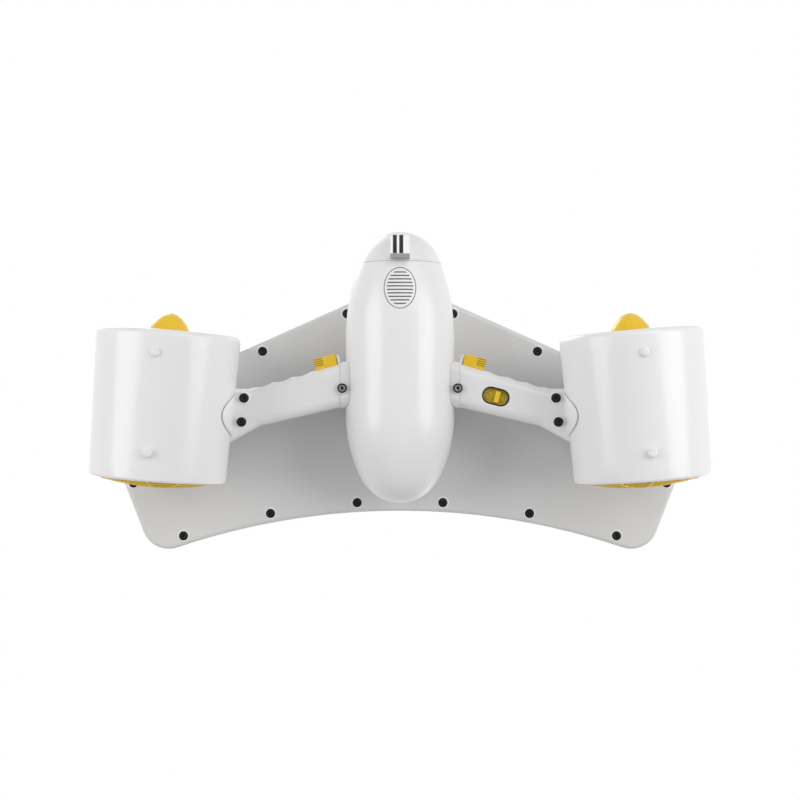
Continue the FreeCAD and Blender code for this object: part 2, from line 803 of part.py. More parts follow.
def edge_screw_places():
    """Screw places on the right half of the board, each across and aft of the origin."""
    lead_inset = f"front_screw_inset * sqrt(1 + {LEAD_SLOPE}^2)"

    def behind_lead(across, inset=lead_inset):
        return across, f"(-board_apex + {LEAD_SLOPE} * {across} + {inset})"

    def before_rear(across):
        return across, (f"(board_tail_middle + {REAR_ARC} - sqrt({REAR_ARC}^2 - {across}^2)"
                        " - edge_screw_inset)")

    side_slope = "(board_tail_taper / (board_tail_back - board_shoulder_back))"
    side = (f"(board_half_span - {side_slope} * (side_screw_back - board_shoulder_back)"
            " - edge_screw_inset)", "side_screw_back")
    return [behind_lead("front_screw_inner"), behind_lead("front_screw_outer"),
            behind_lead("(board_half_span - shoulder_screw_inset)", f"1.2 * {lead_inset}"), side,
            before_rear(f"({TAIL_HALF_SPAN} - tail_screw_inset)"), before_rear("rear_screw_middle"),
            before_rear("rear_screw_inner")]


def screw(name, head_radius, length):
    """Pan-head screw pointing up, its head's underside at zero, with a round socket in the head."""
    body = new_body(name)
    outline = [
        ("screw_socket_depth - screw_head_height", "0"),
        ("screw_socket_depth - screw_head_height", "screw_socket_radius"),
        ("-screw_head_height", "screw_socket_radius"),
        ("-screw_head_height", f"{head_radius} - 0.3 * screw_head_height"),
        ("-0.7 * screw_head_height", head_radius),
        ("0", head_radius),
        ("0", "screw_shank_radius"),
        (length, "screw_shank_radius"),
        (length, "0"),
    ]
    sketch = new_sketch(body, f"{name}_outline", "YZ", [outline])
    turned(body, "Revolution", sketch)
    return body


def copy_at(name, piece, across, along, up, turn=None, axis=Vector(0, 0, 1)):
    return place(group(name, piece), across, along, up, turn, axis)


def float_board():
    board = board_solid()
    shell = cut("board_skin", board, hollowed("board_cavity", board, "board_wall"))
    span = "2 * board_half_span"
    above = box("above_parting", (f"-{span}", f"-{span}", PARTING), (span, span, f"2 * {BOARD_TOP}"))
    pod = at_pod(pod_solid("board_pod_gap", "fit_gap"))

    screw_seat = "(board_base + board_wall)"
    places = edge_screw_places()
    bosses, pilots, heads, holes, foam_holes = [], [], [], [], []
    boss_foot = f"({screw_seat} + fit_gap)"
    for index, (across, along) in enumerate(places):
        bosses.append(place(primitive("Cylinder", f"boss_{index}", Radius="boss_radius",
                                      Height=f"{BOARD_TOP} - 0.5 * board_wall - {boss_foot}"),
                            across, along, boss_foot))
        pilots.append(place(primitive("Cylinder", f"pilot_{index}",
                                      Height=f"0.5 * board_wall + {BOARD_SCREW_LENGTH} + screw_pilot_spare",
                                      Radius="screw_shank_radius + screw_pilot_gap"),
                            across, along, "board_base"))
        heads.append(place(primitive("Cylinder", f"head_hole_{index}", Height="screw_head_height",
                                     Radius="screw_head_radius + fit_gap"),
                           across, along, f"{screw_seat} - 0.5 * board_wall - screw_head_height"))
        foam_holes.append(place(primitive("Cylinder", f"foam_hole_{index}", Height="board_thickness",
                                          Radius="boss_radius + foam_gap"),
                                across, along, "board_base"))
        fixed = copy_at(f"board_screw_{index}", doc.board_screw, across, along,
                        f"{screw_seat} - 0.5 * board_wall", "90", Vector(1, 0, 0))
        holes.append(fixed)

    hump = hump_solid("hump_outer", "0", f"{BOARD_TOP} - board_wall")
    hump_inside = hump_solid("hump_inner", "board_wall", "board_base")
    right_bosses = fuse("right_bosses", *bosses)
    all_bosses = fuse("all_bosses", right_bosses, mirrored("left_bosses", right_bosses))
    right_pilots = fuse("right_pilots", *pilots)
    all_pilots = fuse("all_pilots", right_pilots, mirrored("left_pilots", right_pilots))
    right_heads = fuse("right_heads", *heads)
    all_heads = fuse("all_heads", right_heads, mirrored("left_heads", right_heads))
    right_foam = fuse("right_foam_holes", *foam_holes)
    all_foam = fuse("all_foam_holes", right_foam, mirrored("left_foam_holes", right_foam))

    top_skin = common("top_skin", shell, above)
    lifted = cut("top_skin_open", fuse("top_skin_hump", top_skin, hump), hump_inside)
    within = common("bosses_within", all_bosses, board)
    keep("board_top_shell", cut("board_top", fuse("board_top_bosses", lifted, within), all_pilots))

    bottom_skin = cut("bottom_skin", shell, above)
    keep("board_bottom_shell", cut("board_bottom", bottom_skin, pod, all_pilots, all_heads))

    foam = hollowed("foam_solid", board, "board_wall + foam_gap")
    keep("board_foam_core", cut("foam_core", foam, pod, all_foam))

    right_screws = group("right_board_screws", *holes)
    keep("board_screws", group("board_screws", right_screws,
                               mirrored("left_board_screws", right_screws)))


# Thruster
def at_duct(piece):
    """Place a piece drawn along the right duct's axis from the middle of its front rim."""
    return place(piece, "duct_across", "-duct_ahead", "duct_height", "-duct_toe")


def duct_outline(grow="0"):
    return [
        ("0", "bore_front_radius"),
        ("0", f"duct_front_radius + {grow}"),
        ("duct_length", f"duct_rear_radius + {grow}"),
        ("duct_length", "bore_radius"),
        ("bore_cone_length", "bore_radius"),
    ]


def duct():
    shell = new_body("duct_shell")
    sketch = new_sketch(shell, "duct_outline", "YZ", [duct_outline()])
    solid = turned(shell, "Revolution", sketch)

    def on_rim(along, radius):
        def chosen(edge):
            box = edge.BoundBox
            return (box.YLength < 0.01 and abs(box.YMax - value(along)) < 0.01
                    and (radius is None or abs(box.ZMax - value(radius)) < 0.01))
        return chosen

    solid = rounded(shell, solid, "front_lip_round", on_rim("0", "duct_front_radius"))
    solid = rounded(shell, solid, "front_mouth_round", on_rim("0", "bore_front_radius"))
    rounded(shell, solid, "rear_rim_round", on_rim("duct_length", None))
    keep_pair("duct", at_duct(shell))


def duct_limit(name, grow):
    """Solid duct, grown outward, that trims what seats on its outside."""
    body = new_body(name)
    outline = [
        ("-front_lip_round", "0"),
        ("-front_lip_round", f"duct_front_radius + {grow}"),
        ("0", f"duct_front_radius + {grow}"),
        ("duct_length", f"duct_rear_radius + {grow}"),
        ("duct_length", "0"),
    ]
    turned(body, "Revolution", new_sketch(body, f"{name}_outline", "YZ", [outline]))
    return at_duct(body)


def guard(name, seat, bulge, boss_radius, facing):
    """Domed grille: bars across the mouth, one ring, a rim inside the duct and a boss in the middle.
    Its face looks forward where facing is -1 and aft where it is 1."""
    body = new_body(name)
    rim = f"({seat} - fit_gap)"
    arch = f"(({rim}^2 + {bulge}^2) / (2 * {bulge}))"
    edge_back = f"{-facing} * guard_bar_thickness"

    def under_crown(depth):
        return f"{facing} * ({bulge} - {depth})"

    bars = [
        (under_crown("0"), "0", arch),
        ("0", rim),
        (edge_back, rim, f"-1 * {arch}"),
        (under_crown("guard_bar_thickness"), "0", f"-1 * {arch}"),
        (edge_back, f"-1 * {rim}"),
        ("0", f"-1 * {rim}", arch),
    ]
    sketch = new_sketch(body, f"{name}_bar", "YZ", [bars])
    bar = extrude(body, "Pad", sketch, "guard_bar_width", both_ways=True)
    repeated(body, bar, sketch, "guard_bar_pairs", sweep="180 - 180 / guard_bar_pairs")
    ring_face = under_crown(f"guard_ring_radius^2 / (2 * {arch})")
    low, high = sorted((0, -facing))
    half = "guard_bar_thickness / 2"
    rings = new_sketch(body, f"{name}_rings", "YZ", [
        rectangle(f"{low} * guard_depth", f"{rim} - guard_rim_wall", f"{high} * guard_depth", rim),
        rectangle(f"{ring_face} + {low} * guard_bar_thickness", f"guard_ring_radius - {half}",
                  f"{ring_face} + {high} * guard_bar_thickness", f"guard_ring_radius + {half}"),
        rectangle(f"{under_crown('0')} + {low} * guard_depth", "0",
                  f"{under_crown('0')} + {high} * guard_depth", boss_radius),
    ])
    turned(body, "Revolution", rings)
    return body


def guards():
    flare = "(bore_front_radius - bore_radius) / bore_cone_length"
    front = guard("front_guard_body", f"bore_front_radius - {flare} * guard_depth",
                  "guard_front_bulge", "guard_boss_radius", -1)
    keep_pair("front_guard", at_duct(front))

    dome = new_body("guard_dome_body")
    centre = "(dome_tip_radius - dome_reach)"
    run = f"(-guard_front_bulge - {centre})"
    touch = f"(atan2(guard_boss_radius; {run}) + acos(dome_tip_radius / sqrt({run}^2 + guard_boss_radius^2)))"
    outline = [
        ("-dome_reach", "0", "-dome_tip_radius"),
        (f"{centre} + dome_tip_radius * cos({touch})", f"dome_tip_radius * sin({touch})"),
        ("-guard_front_bulge", "guard_boss_radius"),
        ("-guard_front_bulge", "0"),
    ]
    turned(dome, "Revolution", new_sketch(dome, "guard_dome_outline", "YZ", [outline]))
    keep_pair("guard_dome", at_duct(dome))

    rear = guard("rear_guard_body", "bore_radius", "guard_rear_bulge", "rear_boss_radius", 1)
    place(rear, "0", "duct_length", "0")
    keep_pair("rear_guard", at_duct(group("rear_guard_set", rear)))


def propeller():
    body = new_body("propeller_body")
    hub_end = "(hub_start + hub_length)"
    hub = new_sketch(body, "propeller_hub", "YZ", [[
        ("hub_start", "shaft_radius + shaft_fit"),
        ("hub_start", "hub_radius - hub_nose"),
        ("hub_start + hub_nose", "hub_radius"),
        (hub_end, "hub_radius"),
        (hub_end, "shaft_radius + shaft_fit"),
    ]])
    turned(body, "Revolution", hub)
    middle = "(hub_start + hub_length / 2 + hub_nose / 4)"
    stations = (
        ("root", "hub_radius - blade_root_lap", "blade_root_chord", "blade_root_thickness"),
        ("middle", "(hub_radius + blade_radius) / 2", "blade_middle_chord", "blade_middle_thickness"),
        ("tip", "blade_radius", "blade_tip_chord", "blade_tip_thickness"),
    )
    sections = []
    for name, radius, chord, thickness in stations:
        arc = f"((({chord})^2 / 4 + ({thickness})^2 / 4) / ({thickness}))"
        pitch = f"(90 - atan2(blade_pitch; 2 * 3.14159265 * ({radius})) / 1deg)"
        section = new_sketch(body, f"blade_{name}", "YZ",
                             [[(f"-{chord} / 2", "0", arc), (f"{chord} / 2", "0", arc)]],
                             lift=radius, turn=pitch)
        bind(section, AttachmentOffset__Base__x=middle)
        sections.append(section)
    blade = body.newObject("PartDesign::AdditiveLoft", "propeller_blade")
    blade.Profile = sections[0]
    blade.Sections = sections[1:]
    doc.recompute()
    repeated(body, blade, hub, "blade_count")
    keep_pair("propeller", at_duct(body))

    nut = primitive("Prism", "propeller_nut_body", Circumradius="propeller_nut_flats / sqrt(3)",
                    Height="propeller_nut_height")
    nut.Polygon = 6
    place(nut, "0", "hub_start", "0", "90", Vector(1, 0, 0))
    bore = primitive("Cylinder", "propeller_nut_bore", Radius="shaft_radius + shaft_fit",
                     Height="2 * hub_length")
    place(bore, "0", "hub_start + hub_length", "0", "90", Vector(1, 0, 0))
    keep_pair("propeller_nut", at_duct(cut("propeller_nut", nut, bore)))


MOTOR_END = "(motor_start + motor_length)"


def motor():
    inside = "(motor_radius - motor_wall)"
    can = new_body("motor_housing_body")
    cup = new_sketch(can, "motor_cup", "YZ", [[
        ("motor_start", inside),
        ("motor_start", "motor_radius"),
        (MOTOR_END, "motor_radius"),
        (f"{MOTOR_END} + tail_cone_length", "tail_cone_radius"),
        (f"{MOTOR_END} + tail_cone_length", "0"),
        (MOTOR_END, "0"),
        (MOTOR_END, inside),
    ]])
    turned(can, "Revolution", cup)
    vane_start = f"({MOTOR_END} - mount_ring_length)"
    ring = new_sketch(can, "motor_mount_ring", "YZ", [
        rectangle(vane_start, "bore_radius - fit_gap - mount_ring_wall", MOTOR_END,
                  "bore_radius - fit_gap")])
    vane = new_sketch(can, "motor_vane", "YZ", [
        rectangle(vane_start, f"{inside} + motor_wall / 2", MOTOR_END,
                  "bore_radius - fit_gap - mount_ring_wall / 2")])
    plate = extrude(can, "Pad", vane, "vane_thickness", both_ways=True)
    repeated(can, plate, vane, "vane_count")
    turned(can, "Revolution", ring)
    keep_pair("motor_housing", at_duct(can))

    cover = new_body("motor_cover_body")
    cover_end = "(motor_start + motor_cover_thickness)"
    outline = new_sketch(cover, "motor_cover_outline", "YZ", [[
        ("motor_start", "seal_radius + fit_gap"),
        ("motor_start", f"{inside} - fit_gap"),
        (cover_end, f"{inside} - fit_gap"),
        (cover_end, "bearing_radius + fit_gap / 3"),
        (f"{cover_end} - bearing_width", "bearing_radius + fit_gap / 3"),
        (f"{cover_end} - bearing_width", "seal_radius - seal_lip"),
        ("motor_start + seal_width", "seal_radius - seal_lip"),
        ("motor_start + seal_width", "seal_radius + fit_gap"),
    ]])
    turned(cover, "Revolution", outline)
    keep_pair("motor_cover", at_duct(cover))

    seal = new_body("shaft_seal_body")
    turned(seal, "Revolution", new_sketch(seal, "shaft_seal_ring", "YZ", [
        rectangle("motor_start", "shaft_radius + 2 * shaft_fit", "motor_start + seal_width",
                  "seal_radius")]))
    keep_pair("shaft_seal", at_duct(seal))

    bearings = []
    rear_bearing = f"({MOTOR_END} - bearing_width - fit_gap)"
    for name, start in (("front", f"({cover_end} - bearing_width)"), ("rear", rear_bearing)):
        bearing = new_body(f"{name}_bearing_body")
        turned(bearing, "Revolution", new_sketch(bearing, f"{name}_bearing_ring", "YZ", [
            rectangle(start, "shaft_radius + shaft_fit", f"{start} + bearing_width",
                      "bearing_radius")]))
        bearings.append(bearing)
    keep_pair("shaft_bearings", at_duct(group("shaft_bearings", *bearings)))

    stator = new_body("stator_body")
    stator_start = f"({cover_end} + fit_gap + stator_setback)"
    stack = new_sketch(stator, "stator_stack", "YZ", [
        rectangle(stator_start, "stator_inner_radius", f"{stator_start} + stator_length",
                  f"{inside} - fit_gap")])
    turned(stator, "Revolution", stack)
    slot = new_sketch(stator, "stator_slot", "YZ", [
        rectangle(f"{stator_start} - stator_slot_width", "stator_inner_radius - stator_slot_width",
                  f"{stator_start} + stator_length + stator_slot_width",
                  "stator_inner_radius + stator_slot_depth")])
    groove = extrude(stator, "Pocket", slot, "stator_slot_width", both_ways=True)
    repeated(stator, groove, slot, "stator_slots")
    keep_pair("motor_stator", at_duct(stator))

    rotor = new_body("rotor_body")
    turned(rotor, "Revolution", new_sketch(rotor, "rotor_drum", "YZ", [
        rectangle(stator_start, "shaft_radius + shaft_fit", f"{stator_start} + stator_length",
                  "stator_inner_radius - rotor_air_gap")]))
    keep_pair("motor_rotor", at_duct(rotor))

    shaft = new_body("shaft_body")
    turned(shaft, "Revolution", new_sketch(shaft, "shaft_rod", "YZ", [
        rectangle("hub_start - propeller_nut_height - shaft_tip", "0", f"{MOTOR_END} - fit_gap",
                  "shaft_radius")]))
    keep_pair("propeller_shaft", at_duct(shaft))


def pylon():
    body = new_body("pylon_body")
    front = "(pylon_start + pylon_half_width)"
    tail = "(pylon_start + pylon_length - pylon_tail_radius)"
    plan = new_sketch(body, "pylon_plan", "XY", [[
        ("-pylon_half_width", front, "-pylon_half_width * 1.0001"),
        ("pylon_half_width", front),
        ("pylon_tail_radius", tail, "-pylon_tail_radius * 1.0001"),
        ("-pylon_tail_radius", tail),
    ]])
    extrude(body, "Pad", plan, "board_base - duct_height")
    keep_pair("pylon", cut("pylon", at_duct(body), duct_limit("pylon_duct_gap", "fit_gap / 2")))


def rubber_feet():
    feet = []
    for name, back in (("front", "foot_front"), ("rear", "foot_rear")):
        foot = new_body(f"{name}_foot")
        drop = f"(duct_front_radius - (duct_front_radius - duct_rear_radius) * {back} / duct_length)"
        side = "(foot_radius - foot_flat_radius)"
        dome = f"(({side}^2 + foot_height^2) / (2 * foot_height))"
        sketch = new_sketch(foot, f"{name}_foot_outline", "XZ", [[
            ("0", "-duct_height"),
            ("foot_flat_radius", "-duct_height", dome),
            ("foot_radius", "-duct_height + foot_height"),
            ("foot_radius", f"-{drop} + foot_root"),
            ("0", f"-{drop} + foot_root"),
        ]], lift=f"-1 * {back}")
        turned(foot, "Revolution", sketch, "V_Axis")
        feet.append(foot)
    right = cut("right_feet", at_duct(group("feet_pair", *feet)), duct_limit("feet_duct_gap", "0"))
    keep("rubber_feet", group("rubber_feet", right, mirrored("left_feet", right)))


# Arms
def at_arm(piece):
    """Place a piece drawn along the right arm from its root at the pod."""
    return place(piece, "arm_root_across", "-arm_root_ahead", "arm_height", "arm_sweep")


def arm_section(half_width, half_height, front_inset="0", inset="0"):
    """Rounded rectangle across the arm, front edge towards negative."""
    front = f"(-({half_width}) + {inset} + {front_inset})"
    rear = f"({half_width} - {inset})"
    top = f"({half_height} - {inset})"
    corner = f"(arm_corner_round - {inset})"
    arc = corner
    return [
        (f"{front} + {corner}", f"-{top}"),
        (f"{rear} - {corner}", f"-{top}", arc),
        (rear, f"-{top} + {corner}"),
        (rear, f"{top} - {corner}", arc),
        (f"{rear} - {corner}", top),
        (f"{front} + {corner}", top, arc),
        (front, f"{top} - {corner}"),
        (front, f"-{top} + {corner}", arc),
    ]


def arm_loft(name, inset="0", front_inset="0"):
    body = new_body(name)
    sections = []
    for place_name, along, half_width in (("root", "-arm_lap", "arm_root_half_width"),
                                          ("neck", "arm_neck", "arm_neck_half_width"),
                                          ("end", "arm_length", "arm_end_half_width")):
        outline = arm_section(half_width, "arm_half_thickness", front_inset, inset)
        sections.append(new_sketch(body, f"{name}_{place_name}", "YZ", [outline], lift=along))
    loft = body.newObject("PartDesign::AdditiveLoft", f"{name}_loft")
    loft.Profile = sections[0]
    loft.Sections = sections[1:]
    loft.Ruled = True
    doc.recompute()
    return body


def arms():
    outer = arm_loft("arm_outer")
    scallops = new_sketch(outer, "finger_grooves", "XY", circles=[
        (f"groove_start + {index} * groove_pitch",
         f"-(arm_root_half_width + (arm_neck_half_width - arm_root_half_width)"
         f" * (groove_start + {index} * groove_pitch + arm_lap) / (arm_neck + arm_lap))"
         f" - groove_radius + groove_depth", "groove_radius")
        for index in range(round(value("groove_count")))], lift="-2 * arm_half_thickness")
    extrude(outer, "Pocket", scallops, "4 * arm_half_thickness", reverse=True)
    inner = arm_loft("arm_inner", "arm_wall", "(arm_front_wall - arm_wall)")
    hollow = cut("arm_hollow", at_arm(outer), at_arm(inner))
    span = "4 * arm_length"
    root_side = box("arm_root_side", ("-" + span, "-" + span, "-" + span),
                    ("arm_seam + fit_gap", span, span))
    trigger_hole = at_arm(group("trigger_hole", box(
        "trigger_hole_box",
        ("trigger_start - trigger_gap", "-2 * arm_root_half_width", "-trigger_height / 2 - trigger_gap"),
        ("trigger_start + trigger_width + trigger_gap", "-arm_root_half_width + 2 * arm_front_wall",
         "trigger_height / 2 + trigger_gap"))))
    trimmed = cut("arm_trimmed", hollow, root_side, trigger_hole, duct_limit("arm_duct_gap", "fit_gap"))
    upper_half = box("arm_upper_half", ("-" + span, "-" + span, "arm_height"), (span, span, span))
    keep_pair("arm_upper_shell", common("arm_upper", trimmed, upper_half))
    lower = cut("arm_lower", trimmed, upper_half)
    holes = [arm_cylinder(f"arm_screw_hole_{index}", along, across, "screw_shank_radius + screw_pilot_gap",
                          "-arm_half_thickness - fit_gap", "arm_half_thickness")
             for index, (along, across) in enumerate(DUCT_SCREWS)]
    lower = cut("arm_lower_drilled", lower, *holes)
    keep("left_arm_lower_shell", mirrored("left_arm_lower", lower))
    keep("right_arm_lower_shell", cut("right_arm_lower", lower, speed_slot()))

    collar_body = new_body("collar_body")
    collar = new_sketch(collar_body, "collar_section", "YZ",
                        [arm_section("arm_root_half_width + collar_swell",
                                     "arm_half_thickness + collar_swell")], lift="-arm_lap")
    extrude(collar_body, "Pad", collar, "collar_length")
    bore = new_sketch(collar_body, "collar_bore", "YZ",
                      [arm_section("arm_root_half_width", "arm_half_thickness",
                                   "0", "arm_wall")], lift="-2 * arm_lap")
    extrude(collar_body, "Pocket", bore, "2 * collar_length", reverse=True)
    arm_side = box("collar_arm_side", ("arm_seam", "-" + span, "-" + span), (span, span, span))
    root_screw_hole = place(primitive("Cylinder", "root_screw_hole", Height="2 * arm_half_thickness",
                                      Radius="screw_shank_radius + screw_pilot_gap"),
                            "root_screw_across", "-root_screw_ahead",
                            "arm_height - 1.5 * arm_half_thickness")
    keep_pair("arm_collar", cut("arm_collar", at_arm(collar_body), arm_side, root_screw_hole,
                                at_pod(pod_solid("collar_pod_gap", "fit_gap"))))


DUCT_SCREWS = (("duct_screw_front_along", "-duct_screw_front_across"),
               ("duct_screw_rear_along", "duct_screw_rear_across"))


def arm_cylinder(name, along, across, radius, low, height):
    solid = place(primitive("Cylinder", f"{name}_rod", Radius=radius, Height=height), along, across, low)
    return at_arm(group(name, solid))


def speed_slot():
    """Stadium-shaped window in the underside of the right arm, over the slide switch."""
    body = new_body("speed_slot_body")
    half = "(speed_slot_length / 2 - speed_slot_width / 2)"
    radius = "speed_slot_width / 2 * 1.0001"
    plan = new_sketch(body, "speed_slot_plan", "XY", [[
        (f"speed_slot_along - {half}", "speed_slot_across - speed_slot_width / 2"),
        (f"speed_slot_along + {half}", "speed_slot_across - speed_slot_width / 2", radius),
        (f"speed_slot_along + {half}", "speed_slot_across + speed_slot_width / 2"),
        (f"speed_slot_along - {half}", "speed_slot_across + speed_slot_width / 2", radius),
    ]], lift="-2 * arm_half_thickness")
    extrude(body, "Pad", plan, "2 * arm_half_thickness - arm_wall")
    return at_arm(body)


def speed_switch():
    floor = "(-arm_half_thickness + arm_wall + speed_gap)"
    body = new_body("speed_switch_body")
    half = "(speed_slot_length / 2 + speed_travel + speed_plate_lap)"
    plate = new_sketch(body, "speed_plate", "XY", [
        rectangle(f"speed_slot_along - {half}",
                  "speed_slot_across - speed_slot_width / 2 - speed_plate_lap",
                  f"speed_slot_along + {half}",
                  "speed_slot_across + speed_slot_width / 2 + speed_plate_lap")], lift=floor)
    extrude(body, "Pad", plate, "speed_plate_thickness")
    ridge = new_sketch(body, "speed_ridge", "XY", [
        rectangle("speed_slot_along + speed_ridge_offset - speed_ridge / 2",
                  "speed_slot_across - speed_slot_width / 2 + speed_ridge_inset",
                  "speed_slot_along + speed_ridge_offset + speed_ridge / 2",
                  "speed_slot_across + speed_slot_width / 2 - speed_ridge_inset")],
        lift="-arm_half_thickness + speed_gap")
    extrude(body, "Pad", ridge, "arm_wall + speed_plate_thickness / 2")
    keep("speed_switch", at_arm(body))


ARM_TAPER = "((arm_neck_half_width - arm_root_half_width) / (arm_neck + arm_lap))"
TRIGGER_END = "(trigger_start + trigger_width + trigger_flange)"
TRIGGER_BACK = (f"(arm_front_wall + trigger_gap - arm_root_half_width"
                f" - {ARM_TAPER} * ({TRIGGER_END} + arm_lap))")
TRIGGER_SPRING_LENGTH = "(trigger_travel + trigger_spring_solid)"


def trigger():
    body = new_body("trigger_body")
    face = new_sketch(body, "trigger_face", "XZ", [
        rectangle("trigger_start", "-trigger_height / 2", "trigger_start + trigger_width",
                  "trigger_height / 2")], lift="arm_root_half_width + trigger_reach")
    block = extrude(body, "Pad", face, f"arm_root_half_width + trigger_reach + {TRIGGER_BACK}", reverse=True)

    def front_upright(edge):
        box = edge.BoundBox
        return box.YLength < 0.01 and abs(box.YMin + value("arm_root_half_width + trigger_reach")) < 0.01

    rounded(body, block, "trigger_rib", front_upright)
    flange = new_sketch(body, "trigger_flange_face", "XZ", [
        rectangle("trigger_start - trigger_flange", "-trigger_height / 2 + trigger_flange",
                  "trigger_start + trigger_width + trigger_flange",
                  "trigger_height / 2 - trigger_flange")], lift=f"-1 * {TRIGGER_BACK}")
    extrude(body, "Pad", flange, "trigger_flange_thickness", reverse=True)
    keep_pair("trigger", at_arm(body))

    spring = new_body("trigger_spring_body")
    middle = "(trigger_start + trigger_width / 3)"
    ring = new_sketch(spring, "trigger_spring_ring", "XZ",
                      circles=[(middle, "0", "trigger_spring_radius"),
                               (middle, "0", "trigger_spring_radius - spring_wire")],
                      lift=f"-1 * ({TRIGGER_BACK} + trigger_flange_thickness)")
    extrude(spring, "Pad", ring, TRIGGER_SPRING_LENGTH, reverse=True)
    keep_pair("trigger_spring", at_arm(spring))

    sensor = new_body("trigger_switch_body")
    start = f"({TRIGGER_BACK} + trigger_flange_thickness + {TRIGGER_SPRING_LENGTH})"
    block = new_sketch(sensor, "trigger_switch_face", "XZ", [
        rectangle(f"{middle} - trigger_spring_radius", "-arm_half_thickness + arm_wall",
                  f"{middle} + trigger_spring_radius", "trigger_height / 3")],
        lift=f"-1 * ({start})")
    extrude(sensor, "Pad", block, "trigger_switch_depth", reverse=True)
    keep_pair("trigger_switch", at_arm(sensor))


def arm_screws():
    duct_screws = []
    for index, (along, across) in enumerate(DUCT_SCREWS):
        fixed = copy_at(f"duct_screw_{index}", doc.arm_screw, along, across, "-arm_half_thickness", "90",
                        Vector(1, 0, 0))
        duct_screws.append(at_arm(group(f"duct_screw_{index}_placed", fixed)))
    right = group("right_duct_screws", *duct_screws)
    keep("duct_screws", group("duct_screws", right, mirrored("left_duct_screws", right)))
    root = copy_at("root_screw_right", doc.root_screw, "root_screw_across", "-root_screw_ahead",
                   "arm_height - arm_half_thickness - collar_swell", "90", Vector(1, 0, 0))
    keep("arm_root_screws", group("arm_root_screws", root, mirrored("root_screw_left", root)))


screw("board_screw", "screw_head_radius", BOARD_SCREW_LENGTH)
screw("arm_screw", "screw_head_radius", "arm_screw_length")
screw("root_screw", "root_screw_radius", "arm_screw_length")
hull_shell()
nose_cap()
camera_mount()
battery_compartment()
motor_controller()
release_button()
float_board()
duct()
guards()
propeller()
motor()
pylon()
rubber_feet()
arms()
speed_switch()
trigger()
arm_screws()
doc.recompute()

for thing in doc.Objects:
    if "Invalid" in thing.State or "Error" in thing.State:
        raise ValueError(f"{thing.Name} did not build: {thing.State}")
os.makedirs("parts", exist_ok=True)
for piece in finished:
    shape = piece.Shape
    if shape.isNull() or not shape.isValid() or not shape.Solids:
        raise ValueError(f"{piece.Label} is not a valid solid")
    shape.exportStep(f"parts/{piece.Label}.step")
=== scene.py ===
"""Looks of the underwater scooter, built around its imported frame. Metres, same frame as the solids."""
import json
import math

import bmesh
import bpy
from mathutils import Matrix, Vector
from mathutils.bvhtree import BVHTree

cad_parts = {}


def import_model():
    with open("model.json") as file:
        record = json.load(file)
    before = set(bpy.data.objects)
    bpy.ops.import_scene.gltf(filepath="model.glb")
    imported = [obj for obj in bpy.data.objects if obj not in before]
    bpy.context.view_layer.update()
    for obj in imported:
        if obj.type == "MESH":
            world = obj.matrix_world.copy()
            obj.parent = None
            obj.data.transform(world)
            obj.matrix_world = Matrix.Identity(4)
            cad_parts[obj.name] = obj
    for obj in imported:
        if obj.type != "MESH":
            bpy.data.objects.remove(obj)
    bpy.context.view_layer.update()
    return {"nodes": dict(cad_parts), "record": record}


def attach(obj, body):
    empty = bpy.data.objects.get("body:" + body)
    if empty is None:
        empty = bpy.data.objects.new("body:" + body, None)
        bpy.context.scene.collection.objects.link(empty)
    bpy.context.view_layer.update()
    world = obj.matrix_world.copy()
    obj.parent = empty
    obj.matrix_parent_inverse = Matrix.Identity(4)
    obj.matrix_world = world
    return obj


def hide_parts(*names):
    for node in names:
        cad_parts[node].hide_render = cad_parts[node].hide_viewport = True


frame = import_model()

# Places that repeat the solids' own sizes, in metres
POD_TIP_Y = -0.1737
POD_AXIS_Z = 0.117
DUCT_FRONT = Vector((0.242, -0.0641, 0.077))
DUCT_TOE = math.radians(4.6)
DUCT_LENGTH = 0.154
DUCT_RADIUS = 0.075
DUCT_TAPER = 0.004
ARM_ROOT = Vector((0.0604, -0.009, 0.110))
ARM_SWEEP = math.radians(14.3)
ARM_UNDERSIDE = -0.017
BUTTON_CENTRE_Y = POD_TIP_Y + 0.064
BUTTON_HALF_WIDTH = 0.0163
BUTTON_HALF_LENGTH = 0.0213
BUTTON_FIELD_INSET = 0.0026
RIB_PITCH = 0.0037
RIB_GROOVE = 0.0013
CAP_SEAM_BACK = 0.0345
MOUNT_FOOT_Y = POD_TIP_Y + 0.0284
SWITCH_CENTRE = (0.0431, 0.002)
SWITCH_FLOOR_Z = ARM_ROOT.z + ARM_UNDERSIDE + 0.0008
GUARD_RODS = 12
GUARD_ROD_RADIUS = 0.0014
GUARD_RING_RADIUS = 0.0555
GUARD_RIM_WALL = 0.0026
GUARD_DEPTH = 0.008
BLACK_SCREW_HOLE = 0.0051

DUCT_PLACE = Matrix.Translation(DUCT_FRONT) @ Matrix.Rotation(-DUCT_TOE, 4, "Z")
ARM_PLACE = Matrix.Translation(ARM_ROOT) @ Matrix.Rotation(ARM_SWEEP, 4, "Z")
ACROSS = Matrix.Scale(-1, 4, (1, 0, 0))

slot_of = {part["node"]: part["material_slot"] for part in frame["record"]["subparts"]}
body_of = {node: body for body, nodes in frame["record"]["behaviour"]["bodies"].items() for node in nodes}


# Materials
WHITE = (0.86, 0.86, 0.86)
YELLOW = (0.90, 0.60, 0.030)
MOULDING_GRAIN = 900.0
GRAIN_DEPTH = 0.00002


def new_material(name):
    """Material with one principled shader: the material, its tree and the shader."""
    material = bpy.data.materials.new(name)
    material.use_nodes = True
    tree = material.node_tree
    tree.nodes.clear()
    output = tree.nodes.new("ShaderNodeOutputMaterial")
    shader = tree.nodes.new("ShaderNodeBsdfPrincipled")
    tree.links.new(shader.outputs["BSDF"], output.inputs["Surface"])
    return material, tree, shader


